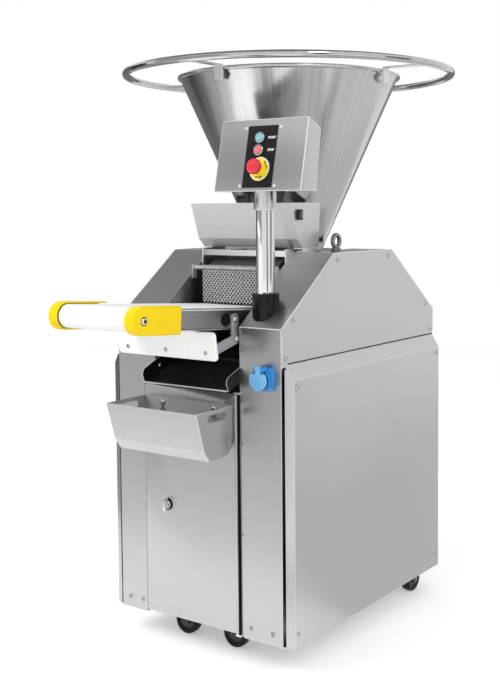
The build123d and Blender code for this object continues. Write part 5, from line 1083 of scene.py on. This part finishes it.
def facing(place, target):
    """A matrix that stands at a place with its Z axis toward a target."""
    aim = Vector(target) - Vector(place)
    return Matrix.Translation(place) @ aim.to_track_quat("Z", "Y").to_matrix().to_4x4()


floor_finish = new_finish("pale_floor", FLOOR_WHITE, roughness=0.7)
tree = floor_finish.node_tree
lift = tree.nodes.new("ShaderNodeEmission")
both = tree.nodes.new("ShaderNodeAddShader")
tree.links.new(toward_picture(tree, 0.0, FLOOR_LIFT), lift.inputs["Strength"])
tree.links.new(tree.nodes["Principled BSDF"].outputs["BSDF"], both.inputs[0])
tree.links.new(lift.outputs["Emission"], both.inputs[1])
tree.links.new(both.outputs["Shader"], tree.nodes["Material Output"].inputs["Surface"])
stage_sheet("floor", FLOOR_SIZE, FLOOR_SIZE, floor_finish, Matrix())

STANDING_CARDS = (
    ("front_card", 0.62, 6.0, 2.0, (-3.2, -4.4, 1.0), (0, 0, 1.0)),
    ("front_high_card", 0.44, 6.0, 2.2, (-3.2, -4.4, 3.1), (0, 0, 1.2)),
    ("side_card", 0.98, 6.0, 2.4, (3.4, 4.6, 1.2), (0, 0, 1.0)),
    ("top_card", 0.30, 6.0, 5.0, (-1.4, 0.3, 4.2), (-1.4, 0.3, 1.0)),
    ("near_card", 0.04, 0.9, 3.0, (4.15, -2.75, 1.5), (0, 0, 1.2)),
    ("right_card", 0.20, 1.8, 3.0, (4.7, 1.8, 1.5), (0, 0, 1.2)),
    ("back_card", 0.20, 5.0, 3.0, (-2.8, 5.2, 1.5), (0, 0, 1.2)),
    ("glint_card", 9.0, 0.7, 0.7, (2.6, -1.7, 3.6), (0, 0, 1.2)),
    ("left_card", 0.20, 3.6, 3.0, (-4.6, 2.2, 1.5), (0, 0, 1.2)),
    ("hopper_card", 1.7, 0.29, 0.28, (-0.125, -0.48, 1.19), (-0.125, -0.48, 2.0)),
    ("tube_card", 1.35, 0.75, 0.32, (-0.15, -0.88, 1.06), (0.19, -0.21, 1.06)),
    ("left_edge_card", 0.06, 2.4, 3.0, (-5.2, -0.4, 1.5), (0, 0, 1.2)),
)
LYING_CARDS = (
    ("far_front_floor", 0.52, 4.2, 2.8, (-2.1, -3.6), 0),
    ("near_front_floor", 0.88, 2.6, 1.3, (-1.1, -1.55), 0),
    ("left_floor", 0.42, 2.0, 3.8, (-2.4, 0.9), 0),
    ("left_gap_floor", 0.52, 1.5, 1.2, (-3.15, -1.6), 0),
    ("far_left_floor", 0.20, 4.2, 3.6, (-5.6, 0.2), 0),
    ("dark_strip", 0.30, 0.50, 1.3, (0.36, -1.45), 0),
    ("mid_right_floor", 0.68, 1.2, 1.5, (1.72, -0.72), 50),
    ("dark_right_strip", 0.32, 1.7, 0.34, (1.75, -0.05), 15),
    ("near_right_floor", 0.74, 1.7, 5.0, (1.15, 2.6), 0),
    ("far_right_floor", 0.88, 1.6, 4.6, (2.80, 2.6), 0),
)
CARD_LIFT = 0.02
CARD_STEP = 0.001


def set_card(name, tone, width, height, place):
    """A card of one tone that only mirrors see."""
    card_finish = bpy.data.materials.new(name)
    card_finish.use_nodes = True
    tree = card_finish.node_tree
    tree.nodes.remove(tree.nodes["Principled BSDF"])
    glow = tree.nodes.new("ShaderNodeEmission")
    glow.inputs["Strength"].default_value = tone
    tree.links.new(glow.outputs["Emission"], tree.nodes["Material Output"].inputs["Surface"])
    card = stage_sheet(name, width, height, card_finish, place)
    card.visible_camera = False
    card.visible_diffuse = False
    card.visible_transmission = False
    card.visible_shadow = False


for name, tone, width, height, place, target in STANDING_CARDS:
    set_card(name, tone, width, height, facing(place, target))
for rank, (name, tone, width, height, (x, y), turn) in enumerate(LYING_CARDS):
    lie = Matrix.Translation((x, y, CARD_LIFT + CARD_STEP * rank))
    set_card(name, tone, width, height, lie @ Matrix.Rotation(radians(turn), 4, "Z"))

world = bpy.data.worlds.new("white_surround")
bpy.context.scene.world = world
world.use_nodes = True
tree = world.node_tree
surround = tree.nodes["Background"]
surround.inputs["Color"].default_value = (1, 1, 1, 1)
tree.links.new(toward_picture(tree, SURROUND_LIGHT, 1.0), surround.inputs["Strength"])


def soft_lamp(name, place, target, size, power):
    """A square soft box that faces a target."""
    lamp = bpy.data.lights.new(name, "AREA")
    lamp.size = size
    lamp.energy = power
    box = bpy.data.objects.new(name, lamp)
    aim = Vector(target) - Vector(place)
    box.matrix_world = Matrix.Translation(place) @ aim.to_track_quat("-Z", "Y").to_matrix().to_4x4()
    box.visible_glossy = False
    bpy.context.scene.collection.objects.link(box)


soft_lamp("key_lamp", (-2.2, -3.2, 3.4), (0, 0, 0.8), size=2.0, power=90)
soft_lamp("fill_lamp", (3.4, -1.6, 2.6), (0, 0, 0.7), size=2.2, power=40)

# Camera
# It stands to the right of the machine's front at chest height, as the product was photographed.
CAMERA_PLACE = (1.7957, -2.3821, 1.1804)
CAMERA_RIGHT = (0.82551, 0.56435, -0.00549)
CAMERA_UP = (-0.03301, 0.05800, 0.99777)
CAMERA_BACK = (0.56341, -0.82349, 0.06650)
CAMERA_SENSOR = 36.0
CAMERA_LENS = 54.69
CAMERA_SHIFT = (-0.0785, -0.1020)
camera_data = bpy.data.cameras.new("camera")
camera_data.sensor_width = CAMERA_SENSOR
camera_data.lens = CAMERA_LENS
camera_data.shift_x, camera_data.shift_y = CAMERA_SHIFT
camera = bpy.data.objects.new("camera", camera_data)
turn = Matrix((CAMERA_RIGHT, CAMERA_UP, CAMERA_BACK)).transposed().to_4x4()
camera.matrix_world = Matrix.Translation(CAMERA_PLACE) @ turn
bpy.context.scene.collection.objects.link(camera)
bpy.context.scene.camera = camera
bpy.context.scene.view_settings.view_transform = "Standard"
